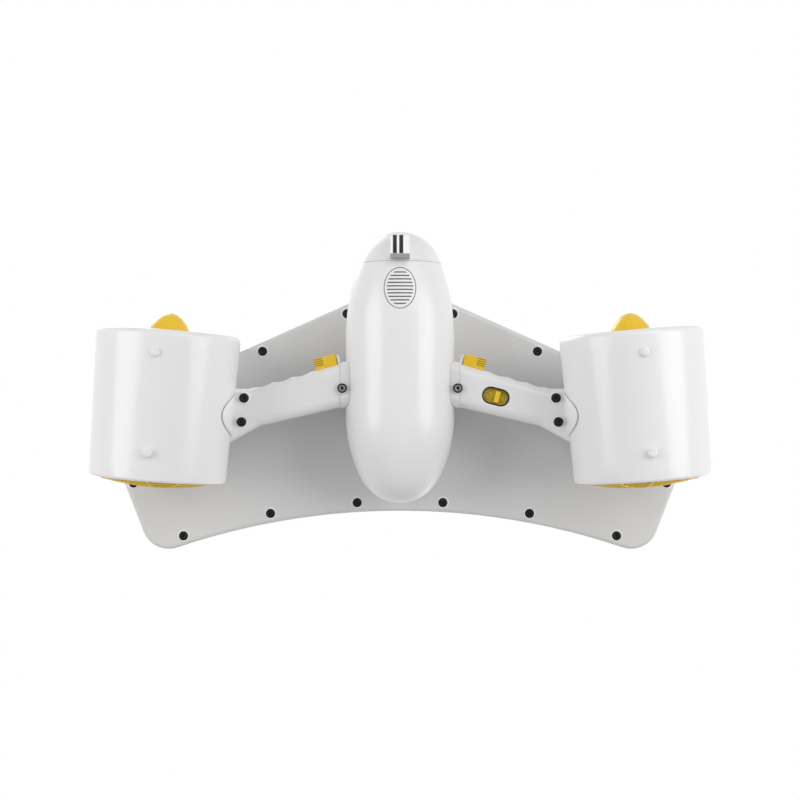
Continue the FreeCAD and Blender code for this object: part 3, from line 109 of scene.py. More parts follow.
def noise(tree, scale, detail=4.0, roughness=0.5):
    """Noise value over the piece's own coordinates."""
    place = tree.nodes.new("ShaderNodeTexCoord")
    texture = tree.nodes.new("ShaderNodeTexNoise")
    texture.inputs["Scale"].default_value = scale
    texture.inputs["Detail"].default_value = detail
    texture.inputs["Roughness"].default_value = roughness
    tree.links.new(place.outputs["Object"], texture.inputs["Vector"])
    return texture.outputs["Fac"]


def spread(tree, source, low, high):
    """Stretch a noise value, which lies near its middle, over a range."""
    remap = tree.nodes.new("ShaderNodeMapRange")
    remap.inputs["From Min"].default_value = 0.3
    remap.inputs["From Max"].default_value = 0.7
    remap.inputs["To Min"].default_value = low
    remap.inputs["To Max"].default_value = high
    tree.links.new(source, remap.inputs["Value"])
    return remap.outputs["Result"]


def between(tree, factor, first, second):
    """Colour that goes from the first to the second as the factor rises."""
    mix = tree.nodes.new("ShaderNodeMix")
    mix.data_type = "RGBA"
    mix.inputs["A"].default_value = (*first, 1)
    mix.inputs["B"].default_value = (*second, 1)
    tree.links.new(factor, mix.inputs["Factor"])
    return mix.outputs["Result"]


def bump(tree, shader, height, strength, distance):
    """Fine relief from a height value."""
    node = tree.nodes.new("ShaderNodeBump")
    node.inputs["Strength"].default_value = strength
    node.inputs["Distance"].default_value = distance
    tree.links.new(height, node.inputs["Height"])
    tree.links.new(node.outputs["Normal"], shader.inputs["Normal"])


def moulded(name, base, shade, rough, gloss_coat=0.0, grain=MOULDING_GRAIN, grain_depth=GRAIN_DEPTH,
            wander=0.015):
    """Moulded plastic: faint drift of tone, roughness that wanders a little, fine moulding grain."""
    material, tree, shader = new_material(name)
    drift = noise(tree, 9.0, 2.0)
    tree.links.new(between(tree, spread(tree, drift, 0, 1), base, shade), shader.inputs["Base Color"])
    patches = noise(tree, 24.0, 2.0)
    tree.links.new(spread(tree, patches, rough - wander, rough + wander), shader.inputs["Roughness"])
    bump(tree, shader, noise(tree, grain, 2.0), 0.35, grain_depth)
    shader.inputs["Coat Weight"].default_value = gloss_coat
    shader.inputs["Coat Roughness"].default_value = 0.14
    return material


def metal(name, base, shade, rough, metallic=1.0, scale=400.0):
    """Turned or stamped metal with fine tool marks."""
    material, tree, shader = new_material(name)
    marks = noise(tree, scale, 5.0)
    tree.links.new(between(tree, spread(tree, marks, 0, 1), base, shade), shader.inputs["Base Color"])
    tree.links.new(spread(tree, marks, rough - 0.06, rough + 0.06), shader.inputs["Roughness"])
    shader.inputs["Metallic"].default_value = metallic
    bump(tree, shader, marks, 0.2, GRAIN_DEPTH)
    return material


def math_step(tree, operation, *values):
    """One arithmetic node; each value is a number or another node's output."""
    node = tree.nodes.new("ShaderNodeMath")
    node.operation = operation
    for index, value in enumerate(values):
        if isinstance(value, (int, float)):
            node.inputs[index].default_value = value
        else:
            tree.links.new(value, node.inputs[index])
    return node.outputs[0]


def own_axes(tree, coordinates="Object"):
    """X, Y and Z of the shaded point as three outputs."""
    place = tree.nodes.new("ShaderNodeTexCoord")
    split = tree.nodes.new("ShaderNodeSeparateXYZ")
    tree.links.new(place.outputs[coordinates], split.inputs["Vector"])
    return split.outputs


def grooved_button():
    """White moulding with painted shade: inside an oval field the finger grooves are coloured dark grey for
    the shade that falls in them.
    """
    material, tree, shader = new_material("ribbed_button")
    axes = own_axes(tree)
    along = math_step(tree, "SUBTRACT", axes["Y"], BUTTON_CENTRE_Y)
    steps = math_step(tree, "ADD", math_step(tree, "DIVIDE", along, RIB_PITCH), 100.0)
    off_middle = math_step(tree, "SUBTRACT", math_step(tree, "FRACT", steps), 0.5)
    shaded_half = 0.54 * RIB_GROOVE / RIB_PITCH
    in_groove = math_step(tree, "LESS_THAN", math_step(tree, "ABSOLUTE", off_middle), shaded_half)
    across_share = math_step(tree, "DIVIDE", axes["X"], BUTTON_HALF_WIDTH - BUTTON_FIELD_INSET)
    along_share = math_step(tree, "DIVIDE", math_step(tree, "ABSOLUTE", along),
                            BUTTON_HALF_LENGTH - BUTTON_FIELD_INSET)
    reach = math_step(tree, "ADD", math_step(tree, "POWER", across_share, 2.0),
                      math_step(tree, "POWER", along_share, 2.0))
    in_field = math_step(tree, "LESS_THAN", reach, 1.0)
    groove_shade_mask = math_step(tree, "MULTIPLY", in_groove, in_field)
    # The grooves' dark grey is painted shade, not a colour of the moulding.
    tree.links.new(between(tree, groove_shade_mask, WHITE, (0.16, 0.16, 0.16)), shader.inputs["Base Color"])
    shader.inputs["Roughness"].default_value = 0.36
    bump(tree, shader, noise(tree, MOULDING_GRAIN, 2.0), 0.35, GRAIN_DEPTH)
    return material


def mount_with_painted_foot_shade():
    """Camera mount: pale fingers, and a grey foot behind them; the grey is painted shade at the fingers'
    base.
    """
    material, tree, shader = new_material("camera_mount_moulding")
    behind = math_step(tree, "GREATER_THAN", own_axes(tree)["Y"], MOUNT_FOOT_Y)
    # Grey behind the foot line: painted shade at the base of the fingers.
    tone = between(tree, behind, (0.96, 0.96, 0.96), (0.33, 0.33, 0.33))
    tree.links.new(tone, shader.inputs["Base Color"])
    tree.links.new(spread(tree, noise(tree, 60.0, 2.0), 0.38, 0.44), shader.inputs["Roughness"])
    bump(tree, shader, noise(tree, MOULDING_GRAIN, 2.0), 0.35, GRAIN_DEPTH)
    return material


def textured_switch():
    """Slide switch: bright thumb ridge over a darker floor with fine cross lines."""
    material, tree, shader = new_material("textured_switch")
    axes = own_axes(tree)
    line_pitch = 0.0016
    on_floor = math_step(tree, "GREATER_THAN", axes["Z"], SWITCH_FLOOR_Z)
    lines = math_step(tree, "SINE", math_step(tree, "MULTIPLY", axes["Y"], 2 * math.pi / line_pitch))
    fleck = math_step(tree, "MULTIPLY", spread(tree, noise(tree, 500.0, 3.0), 0.25, 1.0), on_floor)
    tree.links.new(between(tree, fleck, YELLOW, (0.36, 0.23, 0.010)), shader.inputs["Base Color"])
    shader.inputs["Roughness"].default_value = 0.42
    bump(tree, shader, math_step(tree, "MULTIPLY", lines, on_floor), 0.6, 0.0002)
    return material


finishes = {
    "white": moulded("white_moulding", WHITE, (0.84, 0.84, 0.842), 0.33, 0.25),
    "yellow": moulded("yellow_moulding", YELLOW, (0.87, 0.57, 0.026), 0.36, 0.15),
    "black_plastic": moulded("black_moulding", (0.030, 0.030, 0.032), (0.022, 0.022, 0.023), 0.42),
    "grey_plastic": moulded("grey_moulding", (0.36, 0.36, 0.36), (0.32, 0.32, 0.32), 0.42),
    "battery_wrap": moulded("battery_wrap", (0.012, 0.045, 0.16), (0.010, 0.035, 0.12), 0.30, 0.3),
    "circuit_board": moulded("circuit_board", (0.006, 0.07, 0.022), (0.005, 0.055, 0.018), 0.35, 0.4),
    "foam": moulded("closed_cell_foam", (0.80, 0.79, 0.74), (0.70, 0.69, 0.64), 0.85, 0.0, 450.0, 0.0004,
                    0.05),
    "black_screws": metal("blackened_steel", (0.022, 0.022, 0.023), (0.012, 0.012, 0.012), 0.36, 0.5),
    "steel": metal("bright_steel", (0.58, 0.58, 0.59), (0.48, 0.48, 0.49), 0.28),
    "aluminium": metal("turned_aluminium", (0.76, 0.77, 0.79), (0.66, 0.67, 0.69), 0.34),
    "rubber": moulded("black_rubber", (0.020, 0.020, 0.020), (0.014, 0.014, 0.014), 0.75, 0.0, 700.0,
                      0.0001, 0.05),
    "foot_rubber": moulded("pale_rubber", (0.86, 0.86, 0.86), (0.82, 0.82, 0.82), 0.3, 0.4, 700.0, 0.00005),
}
ribbed_button = grooved_button()
pale_mount = mount_with_painted_foot_shade()
# Near-black finish for the sheets in the mount's slots: painted shadow.
slot_shadow_finish = moulded("slot_web", (0.075, 0.075, 0.075), (0.06, 0.06, 0.06), 0.5)
# Darker yellow for the trigger ridges: painted shade that makes them show.
olive_grip = moulded("olive_grip", (0.42, 0.26, 0.012), (0.36, 0.22, 0.010), 0.5)
# The white moulding made darker for the board's underside: painted shade.
board_underside = moulded("board_underside", (0.76, 0.76, 0.76), (0.74, 0.74, 0.74), 0.34, 0.2)
knurled_switch = textured_switch()
# Paler than the white moulding: painted highlight on the screw rims.
bright_rim = moulded("bright_rim", (0.97, 0.97, 0.97), (0.95, 0.95, 0.95), 0.28, 0.4)


# Making and placing pieces
def dress(thing, material):
    """Put one material in every slot of a mesh object."""
    if not thing.data.materials:
        thing.data.materials.append(material)
    for index in range(len(thing.data.materials)):
        thing.data.materials[index] = material


def settle(name, mesh, slot, body, replaced=(), finish=None):
    """Add a finished piece: its finish, the body that it moves with and the nodes that it stands for."""
    piece = bpy.data.objects.new(name, mesh)
    bpy.context.scene.collection.objects.link(piece)
    dress(piece, finish or finishes[slot])
    if replaced:
        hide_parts(*replaced)
    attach(piece, body)
    return piece


def shade_by_angle(shape, sharp_degrees=28):
    """Smooth shading with sharp edges where two faces meet at more than an angle."""
    for face in shape.faces:
        face.smooth = True
    for edge in shape.edges:
        edge.smooth = edge.calc_face_angle(0) < math.radians(sharp_degrees)


def smooth_copy(node, sharp_degrees=28, finish=None):
    """Piece with a solid's own shape, welded so that its curved faces shade as one surface."""
    mesh = frame["nodes"][node].data.copy()
    shape = bmesh.new()
    shape.from_mesh(mesh)
    bmesh.ops.remove_doubles(shape, verts=shape.verts, dist=2e-6)
    bmesh.ops.dissolve_degenerate(shape, edges=shape.edges, dist=1e-7)
    shade_by_angle(shape, sharp_degrees)
    shape.to_mesh(mesh)
    shape.free()
    return settle(f"{node}_skin", mesh, slot_of[node], body_of[node], [node], finish)


def finish_mesh(shape, name, place=None, mirrored=False):
    """Close a bmesh: placed, mirrored to the left where asked, normals outward."""
    if place is not None:
        bmesh.ops.transform(shape, matrix=place, verts=shape.verts)
    if mirrored:
        bmesh.ops.transform(shape, matrix=ACROSS, verts=shape.verts)
    bmesh.ops.remove_doubles(shape, verts=shape.verts, dist=1e-6)
    bmesh.ops.recalc_face_normals(shape, faces=shape.faces)
    shade_by_angle(shape)
    mesh = bpy.data.meshes.new(name)
    shape.to_mesh(mesh)
    shape.free()
    return mesh


def bridge_rings(shape, rings, closed=True):
    """Faces between following rings of vertices."""
    for ring, following in zip(rings, rings[1:]):
        count = len(ring)
        for index in range(count if closed else count - 1):
            after = (index + 1) % count
            shape.faces.new((ring[index], ring[after], following[after], following[index]))


def turned_circle(shape, along, radius, segments):
    """Circle of vertices about the local Y axis."""
    angles = [2 * math.pi * k / segments for k in range(segments)]
    return [shape.verts.new((radius * math.cos(angle), along, radius * math.sin(angle))) for angle in angles]


def flat_circle(shape, x, y, radius, height, segments):
    """Circle of vertices in a level plane."""
    angles = [2 * math.pi * k / segments for k in range(segments)]
    return [shape.verts.new((x + radius * math.cos(angle), y + radius * math.sin(angle), height))
            for angle in angles]


def turned_ring(shape, profile, segments=96):
    """Closed profile of (along, radius) points turned about the local Y axis."""
    bridge_rings(shape, [turned_circle(shape, along, radius, segments)
                         for along, radius in profile + profile[:1]])


def turned_cap(shape, profile, segments=64):
    """Open profile that starts and ends on the local Y axis, turned about it."""
    poles = [shape.verts.new((0, along, 0)) for along in (profile[0][0], profile[-1][0])]
    made = [turned_circle(shape, along, radius, segments) for along, radius in profile[1:-1]]
    bridge_rings(shape, made)
    for pole, ring in ((poles[0], made[0]), (poles[1], made[-1])):
        for k in range(segments):
            shape.faces.new((pole, ring[k], ring[(k + 1) % segments]))


def solid_boxes(node):
    """Lowest and highest corner of each separate solid of a node."""
    shape = bmesh.new()
    shape.from_mesh(frame["nodes"][node].data)
    bmesh.ops.remove_doubles(shape, verts=shape.verts, dist=2e-6)
    waiting = set(shape.verts)
    boxes = []
    while waiting:
        reached, island = [waiting.pop()], []
        while reached:
            vert = reached.pop()
            island.append(vert.co.copy())
            for edge in vert.link_edges:
                other = edge.other_vert(vert)
                if other in waiting:
                    waiting.discard(other)
                    reached.append(other)
        boxes.append((Vector([min(point[axis] for point in island) for axis in range(3)]),
                      Vector([max(point[axis] for point in island) for axis in range(3)])))
    shape.free()
    return sorted(boxes, key=lambda box: tuple(box[0]))


# Geometry Nodes: trees with named inputs, each ending in real geometry with its finish
class Tree:
    """Thin helper that keeps a node tree's building lines short."""

    def __init__(self, name, inputs):
        self.group = bpy.data.node_groups.new(name, "GeometryNodeTree")
        for label, kind in inputs:
            self.group.interface.new_socket(label, in_out="INPUT", socket_type=f"NodeSocket{kind}")
        self.group.interface.new_socket("Geometry", in_out="OUTPUT", socket_type="NodeSocketGeometry")
        self.entry = self.group.nodes.new("NodeGroupInput").outputs
        self.exit = self.group.nodes.new("NodeGroupOutput")

    def node(self, kind, settings=(), **inputs):
        """New node; an input is given by name, or by i and its number, as a value or a socket."""
        made = self.group.nodes.new(kind)
        for name, value in settings:
            setattr(made, name, value)
        for name, value in inputs.items():
            socket = made.inputs[int(name[1:])] if name[1:].isdigit() else made.inputs[name.replace("_", " ")]
            if isinstance(value, bpy.types.NodeSocket):
                self.group.links.new(value, socket)
            else:
                socket.default_value = value
        return made.outputs

    def arithmetic(self, operation, *values):
        """Output of one arithmetic node."""
        return self.node("ShaderNodeMath", (("operation", operation),),
                         **{f"i{index}": value for index, value in enumerate(values)})[0]

    def close(self, geometry):
        """Real geometry with the finish set."""
        real = self.node("GeometryNodeRealizeInstances", Geometry=geometry)["Geometry"]
        dressed = self.node("GeometryNodeSetMaterial", Geometry=real,
                            Material=self.entry["Finish"])["Geometry"]
        self.group.links.new(dressed, self.exit.inputs["Geometry"])
        return self.group


def grown(tree, mesh, name, **values):
    """Plain mesh that a tree makes from a start mesh and its named inputs."""
    holder = bpy.data.objects.new(f"{name}_holder", mesh)
    bpy.context.scene.collection.objects.link(holder)
    modifier = holder.modifiers.new("make", "NODES")
    modifier.node_group = tree
    for item in tree.interface.items_tree:
        label = item.name.replace(" ", "_")
        if item.in_out == "INPUT" and label in values:
            modifier[item.identifier] = values[label]
    ready = holder.evaluated_get(bpy.context.evaluated_depsgraph_get())
    made = bpy.data.meshes.new_from_object(ready)
    made.name = name
    bpy.data.objects.remove(holder)
    return made


def fastener_tree():
    """A fastener at each point, sized, and turned at random about its own axis."""
    tree = Tree("fasteners", [("Places", "Geometry"), ("Fastener", "Object"), ("Head Radius", "Float"),
                              ("Overall Height", "Float"), ("Turn Seed", "Int"), ("Finish", "Material")])
    blank = tree.node("GeometryNodeObjectInfo", Object=tree.entry["Fastener"])["Geometry"]
    turn = tree.node("FunctionNodeRandomValue", (("data_type", "FLOAT"),), i2=0.0, i3=6.283,
                     Seed=tree.entry["Turn Seed"])[1]
    angles = tree.node("ShaderNodeCombineXYZ", Z=turn)["Vector"]
    rotation = tree.node("FunctionNodeEulerToRotation", Euler=angles)[0]
    size = tree.node("ShaderNodeCombineXYZ", X=tree.entry["Head Radius"], Y=tree.entry["Head Radius"],
                     Z=tree.entry["Overall Height"])["Vector"]
    placed = tree.node("GeometryNodeInstanceOnPoints", Points=tree.entry["Places"], Instance=blank,
                       Rotation=rotation, Scale=size)["Instances"]
    return tree.close(placed)


def grille_tree():
    """Spokes and a ring of round rod on a shallow dome about the local Y axis."""
    tree = Tree("grille", [("Start", "Geometry"), ("Spokes", "Int"), ("Rings", "Int"),
                           ("Rim Radius", "Float"), ("Ring Radius", "Float"), ("Hub Radius", "Float"),
                           ("Crown", "Float"), ("Rod Radius", "Float"), ("Finish", "Material")])
    inner = tree.node("ShaderNodeCombineXYZ", X=tree.entry["Hub Radius"])["Vector"]
    outer = tree.node("ShaderNodeCombineXYZ", X=tree.entry["Rim Radius"])["Vector"]
    spoke = tree.node("GeometryNodeCurvePrimitiveLine", Start=inner, End=outer)["Curve"]
    spoke = tree.node("GeometryNodeResampleCurve", Curve=spoke, Count=14)["Curve"]
    places = tree.node("GeometryNodePoints", Count=tree.entry["Spokes"])[0]
    step = tree.arithmetic("DIVIDE", 2 * math.pi, tree.entry["Spokes"])
    angle = tree.arithmetic("MULTIPLY", tree.node("GeometryNodeInputIndex")[0], step)
    rotation = tree.node("FunctionNodeEulerToRotation",
                         Euler=tree.node("ShaderNodeCombineXYZ", Y=angle)["Vector"])[0]
    spokes = tree.node("GeometryNodeInstanceOnPoints", Points=places, Instance=spoke,
                       Rotation=rotation)["Instances"]
    spokes = tree.node("GeometryNodeRealizeInstances", Geometry=spokes)["Geometry"]
    ring = tree.node("GeometryNodeCurvePrimitiveCircle", Resolution=72,
                     Radius=tree.entry["Ring Radius"])["Curve"]
    ring = tree.node("GeometryNodeTransform", Geometry=ring, Rotation=(math.pi / 2, 0, 0))["Geometry"]
    ring_places = tree.node("GeometryNodePoints", Count=tree.entry["Rings"])[0]
    ring_step = tree.arithmetic("DIVIDE", tree.node("GeometryNodeInputIndex")[0], tree.entry["Rings"])
    ring_scale = tree.arithmetic("SUBTRACT", 1.0, tree.arithmetic("MULTIPLY", ring_step, 0.75))
    ring = tree.node("GeometryNodeInstanceOnPoints", Points=ring_places, Instance=ring,
                     Scale=tree.node("ShaderNodeCombineXYZ", X=ring_scale, Y=ring_scale,
                                     Z=ring_scale)["Vector"])["Instances"]
    ring = tree.node("GeometryNodeRealizeInstances", Geometry=ring)["Geometry"]
    join = tree.group.nodes.new("GeometryNodeJoinGeometry")
    tree.group.links.new(spokes, join.inputs["Geometry"])
    tree.group.links.new(ring, join.inputs["Geometry"])
    where = tree.node("GeometryNodeInputPosition")[0]
    far = tree.node("ShaderNodeVectorMath", (("operation", "LENGTH"),), i0=where)["Value"]
    share = tree.arithmetic("POWER", tree.arithmetic("DIVIDE", far, tree.entry["Rim Radius"]), 2.0)
    rise = tree.arithmetic("MULTIPLY", tree.arithmetic("SUBTRACT", 1.0, share), tree.entry["Crown"])
    lifted = tree.node("GeometryNodeSetPosition", Geometry=join.outputs["Geometry"],
                       Offset=tree.node("ShaderNodeCombineXYZ", Y=rise)["Vector"])["Geometry"]
    round_rod = tree.node("GeometryNodeCurvePrimitiveCircle", Resolution=10,
                          Radius=tree.entry["Rod Radius"])["Curve"]
    rods = tree.node("GeometryNodeCurveToMesh", Curve=lifted, Profile_Curve=round_rod, Fill_Caps=True)["Mesh"]
    rods = tree.node("GeometryNodeSetShadeSmooth", Geometry=rods)["Geometry"]
    return tree.close(rods)


def ridge_tree():
    """A row of equal ridges."""
    tree = Tree("ridges", [("Start", "Geometry"), ("Ridge", "Object"), ("Count", "Int"), ("Step", "Vector"),
                           ("Finish", "Material")])
    blank = tree.node("GeometryNodeObjectInfo", Object=tree.entry["Ridge"])["Geometry"]
    row = tree.node("GeometryNodeMeshLine", Count=tree.entry["Count"], Offset=tree.entry["Step"])["Mesh"]
    placed = tree.node("GeometryNodeInstanceOnPoints", Points=row, Instance=blank)["Instances"]
    return tree.close(placed)


FASTENERS = fastener_tree()
GRILLE = grille_tree()
RIDGES = ridge_tree()


# Screws
SHANK_RADIUS = 0.00175
HEAD_HEIGHT = 0.003
RIM_HEIGHT = 0.0012
RIM_STAND = 0.0009


def screw_blank(name, shank_share, lobes, head_share):
    """Pan head of unit radius and unit overall height, face down, with a lobed socket."""
    shape = bmesh.new()
    count = 36
    angles = [2 * math.pi * k / count for k in range(count)]

    def ring(radius, height, wave=0.0):
        made = []
        for angle in angles:
            waved = radius * (1 + wave * math.cos(lobes * angle))
            made.append(shape.verts.new((waved * math.cos(angle), waved * math.sin(angle), height)))
        return made

    rings = [ring(shank_share * 0.5, 1.0), ring(shank_share, 0.96), ring(shank_share, head_share),
             ring(1.0, head_share), ring(1.0, 0.42 * head_share), ring(0.95, 0.18 * head_share),
             ring(0.84, 0.03 * head_share), ring(0.72, 0.0), ring(0.46, 0.0, 0.12),
             ring(0.42, 0.05 * head_share, 0.12), ring(0.42, 0.6 * head_share, 0.12),
             ring(0.2, 0.68 * head_share)]
    bridge_rings(shape, rings)
    for cap in (rings[0], rings[-1]):
        shape.faces.new(cap)
    mesh = finish_mesh(shape, name)
    return bpy.data.objects.new(name, mesh)


def rim_blank(name):
    """Low bevelled ring of unit inner radius that frames a screw's hole."""
    shape = bmesh.new()
    rings = [flat_circle(shape, 0, 0, radius, height, 36)
             for radius, height in ((1.0, 1.0), (1.02, 0.1), (1.10, 0.0), (1.22, 0.15), (1.34, 1.0))]
    bridge_rings(shape, rings + rings[:1])
    return bpy.data.objects.new(name, finish_mesh(shape, name))


def points_at(name, places):
    """Mesh of loose points."""
    mesh = bpy.data.meshes.new(name)
    mesh.from_pydata(places, [], [])
    return mesh


def screws(node, lobes, seed):
    """Detailed screws in place of one node's solids."""
    boxes = solid_boxes(node)
    low, high = boxes[0]
    radius, height = (high.x - low.x) / 2, high.z - low.z
    blank = screw_blank(f"{node}_blank", SHANK_RADIUS / radius, lobes, HEAD_HEIGHT / height)
    places = points_at(f"{node}_places", [((low.x + high.x) / 2, (low.y + high.y) / 2, low.z)
                                          for low, high in boxes])
    mesh = grown(FASTENERS, places, f"{node}_detail", Fastener=blank, Head_Radius=radius,
                 Overall_Height=height, Turn_Seed=seed, Finish=finishes[slot_of[node]])
    bpy.data.objects.remove(blank)
    settle(f"{node}_detail", mesh, slot_of[node], body_of[node], [node])
    return boxes


def surface_height(nodes, x, y, start):
    """Height of the lowest face of the named solids over one spot."""
    heights = []
    for node in nodes:
        mesh = frame["nodes"][node].data
        faces = BVHTree.FromPolygons([vert.co for vert in mesh.vertices],
                                     [face.vertices for face in mesh.polygons])
        place = faces.ray_cast(Vector((x, y, start)), Vector((0, 0, 1)))[0]
        if place is not None:
            heights.append(place.z)
    return min(heights)


def screw_rims(name, boxes, nodes):
    """Bevelled rims round the black screws' holes, on the surface around them, paler than the moulding as a
    painted highlight.
    """
    blank = rim_blank(f"{name}_blank")
    spots = []
    for low, high in boxes:
        x, y = (low.x + high.x) / 2, (low.y + high.y) / 2
        surface = surface_height(nodes, x, y + 1.2 * BLACK_SCREW_HOLE, low.z - 0.02)
        spots.append((x, y, surface - RIM_STAND))
    places = points_at(f"{name}_places", spots)
    mesh = grown(FASTENERS, places, name, Fastener=blank, Head_Radius=BLACK_SCREW_HOLE,
                 Overall_Height=RIM_HEIGHT, Turn_Seed=1, Finish=bright_rim)
    bpy.data.objects.remove(blank)
    settle(name, mesh, "white", "scooter", finish=bright_rim)


def root_screw_details(boxes):
    """Dark washer round each root screw and a dark plug in its socket."""
    washers, plugs = bmesh.new(), bmesh.new()
    count = 40
    washer_profile = ((0.0036, 0.0028), (0.0036, -0.0003), (0.0040, -0.0006), (0.0048, -0.0004),
                      (0.0051, 0.0028))
    plug_profile = ((0.0019, 0.0010), (0.0019, -0.0001), (0.0015, -0.0002), (0.0003, 0.0001))
    for low, high in boxes:
        x, y = (low.x + high.x) / 2, (low.y + high.y) / 2
        rings = [flat_circle(washers, x, y, radius, low.z + height, count)
                 for radius, height in washer_profile]
        bridge_rings(washers, rings + rings[:1])
        rings = [flat_circle(plugs, x, y, radius, low.z + height, count) for radius, height in plug_profile]
        bridge_rings(plugs, rings)
        for cap in (rings[0], rings[-1]):
            plugs.faces.new(cap)
    settle("root_screw_washers", finish_mesh(washers, "root_screw_washers"), "rubber", "scooter")
    settle("root_screw_sockets", finish_mesh(plugs, "root_screw_sockets"), "black_screws", "scooter")


# Thruster guards
def guard(side, end, rim_radius, hub_radius, crown, hub_face, setback):
    """Grille of round rods with its rim band and hub, in place of one plain guard."""
    node = f"{side}_{end}_guard"
    facing = -1 if end == "front" else 1
    seat = 0.0 if end == "front" else DUCT_LENGTH
    start = bpy.data.meshes.new(f"{node}_start")
    rods = grown(GRILLE, start, f"{node}_rods", Spokes=GUARD_RODS, Rings=3, Rim_Radius=rim_radius - 0.0012,
                 Ring_Radius=GUARD_RING_RADIUS, Hub_Radius=hub_radius - 0.003,
                 Crown=facing * (crown - GUARD_ROD_RADIUS), Rod_Radius=GUARD_ROD_RADIUS,
                 Finish=finishes["yellow"])
    shape = bmesh.new()
    shape.from_mesh(rods)
    back = -facing * GUARD_DEPTH
    inner_radius = rim_radius - GUARD_RIM_WALL
    edge = 0.0006
    turned_ring(shape, [(0, inner_radius + edge), (0, rim_radius - edge), (-facing * edge, rim_radius),
                        (back, rim_radius), (back, inner_radius), (-facing * edge, inner_radius)])
    face = facing * hub_face
    turned_cap(shape, [(face, 0), (face - facing * 0.0002, 0.5 * hub_radius),
                       (face - facing * 0.0009, 0.86 * hub_radius), (face - facing * 0.0022, hub_radius),
                       (face + back, hub_radius), (face + back, 0)])
    place = DUCT_PLACE @ Matrix.Translation((0, seat + setback, 0))
    mesh = finish_mesh(shape, f"{node}_detail", place, side == "left")
    settle(f"{node}_detail", mesh, "yellow", "scooter", [node])


def guard_dome(side):
    """Rounded spinner-shaped hub cap in front of the grille."""
    node = f"{side}_guard_dome"
    shape = bmesh.new()
    reach, foot, radius = 0.0197, 0.0020, 0.0205
    profile = [(-reach, 0)]
    for step in range(1, 25):
        angle = math.pi / 2 * step / 24
        rise = (reach - foot) * math.cos(angle) ** 1.7
        profile.append((-foot - rise, radius * math.sin(angle)))
    profile += [(-foot + 0.0004, radius - 0.0003), (-foot + 0.0004, 0)]
    turned_cap(shape, profile, 96)
    mesh = finish_mesh(shape, f"{node}_detail", DUCT_PLACE, side == "left")
    settle(f"{node}_detail", mesh, "yellow", "scooter", [node])


# Pod details
def pod_radius(back):
    """Radius of the pod a distance behind its nose tip."""
    radius, run, tip = 0.0585, 0.115, 0.045
    flank = ((run - tip) ** 2 + radius ** 2 - tip ** 2) / (2 * (radius - tip))
    joint = tip - tip * (run - tip) / (flank - tip)
    if back < joint:
        return math.sqrt(tip ** 2 - (tip - back) ** 2)
    return radius - flank + math.sqrt(flank ** 2 - (run - min(back, run)) ** 2)


def pod_underside(x, y, lift):
    """Point on the pod's underside, lifted off its surface by a little."""
    radius = pod_radius(y - POD_TIP_Y) + lift
    return Vector((x, y, POD_AXIS_Z - math.sqrt(max(radius ** 2 - x ** 2, 0))))


def button_seal():
    """Dark seal that fills the gap round the release button; its dark is partly painted shadow of the gap."""
    shape = bmesh.new()
    count = 120
    rings = []
    for grow, lift in ((-0.0001, -0.0012), (-0.0001, 0.00005), (0.00025, 0.0002), (0.0006, 0.00005),
                       (0.0006, -0.0012)):
        ring = []
        for k in range(count):
            angle = 2 * math.pi * k / count
            x = (BUTTON_HALF_WIDTH + grow) * math.cos(angle)
            y = BUTTON_CENTRE_Y + (BUTTON_HALF_LENGTH + grow) * math.sin(angle)
            ring.append(shape.verts.new(pod_underside(x, y, lift)))
        rings.append(ring)
    bridge_rings(shape, rings + rings[:1])
    settle("button_seal", finish_mesh(shape, "button_seal"), "rubber", "scooter")


def seam_line():
    """Dark parting seal between the nose cap and the hull."""
    shape = bmesh.new()
    front, back = CAP_SEAM_BACK - 0.0001, CAP_SEAM_BACK + 0.0004
    outer = pod_radius(CAP_SEAM_BACK) - 0.00015
    inner = pod_radius(CAP_SEAM_BACK) - 0.0015
    turned_ring(shape, [(front, inner), (back, inner), (back, outer), (front, outer)], 160)
    place = Matrix.Translation((0, POD_TIP_Y, POD_AXIS_Z))
    settle("cap_seam_seal", finish_mesh(shape, "cap_seam_seal", place), "rubber", "scooter")


def mount_slot_shadows():
    """Painted shadow: dark sheets with a shallow channel that close the two slots between the mount's
    fingers, where only shade falls.
    """
    shape = bmesh.new()
    half_width, root, channel_depth = 0.00212, 0.008, 0.0012
    section = [(-half_width, root), (-half_width, 0), (-0.0011, 0), (-0.0009, channel_depth)]
    section += [(-across, rise) for across, rise in reversed(section)]
    for middle in (-0.0054, 0.0013):
        rows = []
        for back, floor_z in ((0.0078, 0.0735), (0.0090, 0.0715), (0.0120, 0.0700), (0.0180, 0.0692),
                              (0.0284, 0.0684)):
            rows.append([shape.verts.new((middle + across, POD_TIP_Y + back, floor_z + rise))
                         for across, rise in section])
        bridge_rings(shape, rows)
        for cap in (rows[0], rows[-1]):
            shape.faces.new(cap)
    settle("mount_slot_webs", finish_mesh(shape, "mount_slot_webs"), "black_plastic", "battery_module",
           finish=slot_shadow_finish)


# Arm details
def stadium(shape, centre, half_length, half_width, heights_and_grows, count=28):
    """Rings that follow a stadium outline in the arm's own plane."""
    rings = []
    for grow, height in heights_and_grows:
        ring = []
        radius = half_width + grow
        for end in (1, -1):
            for k in range(count + 1):
                angle = math.pi * (k / count - 0.5) if end == 1 else math.pi * (k / count + 0.5)
                ring.append(shape.verts.new((centre[0] + end * (half_length - half_width)
                                             + radius * math.cos(angle),
                                             centre[1] + radius * math.sin(angle), height)))
        rings.append(ring)
    return rings


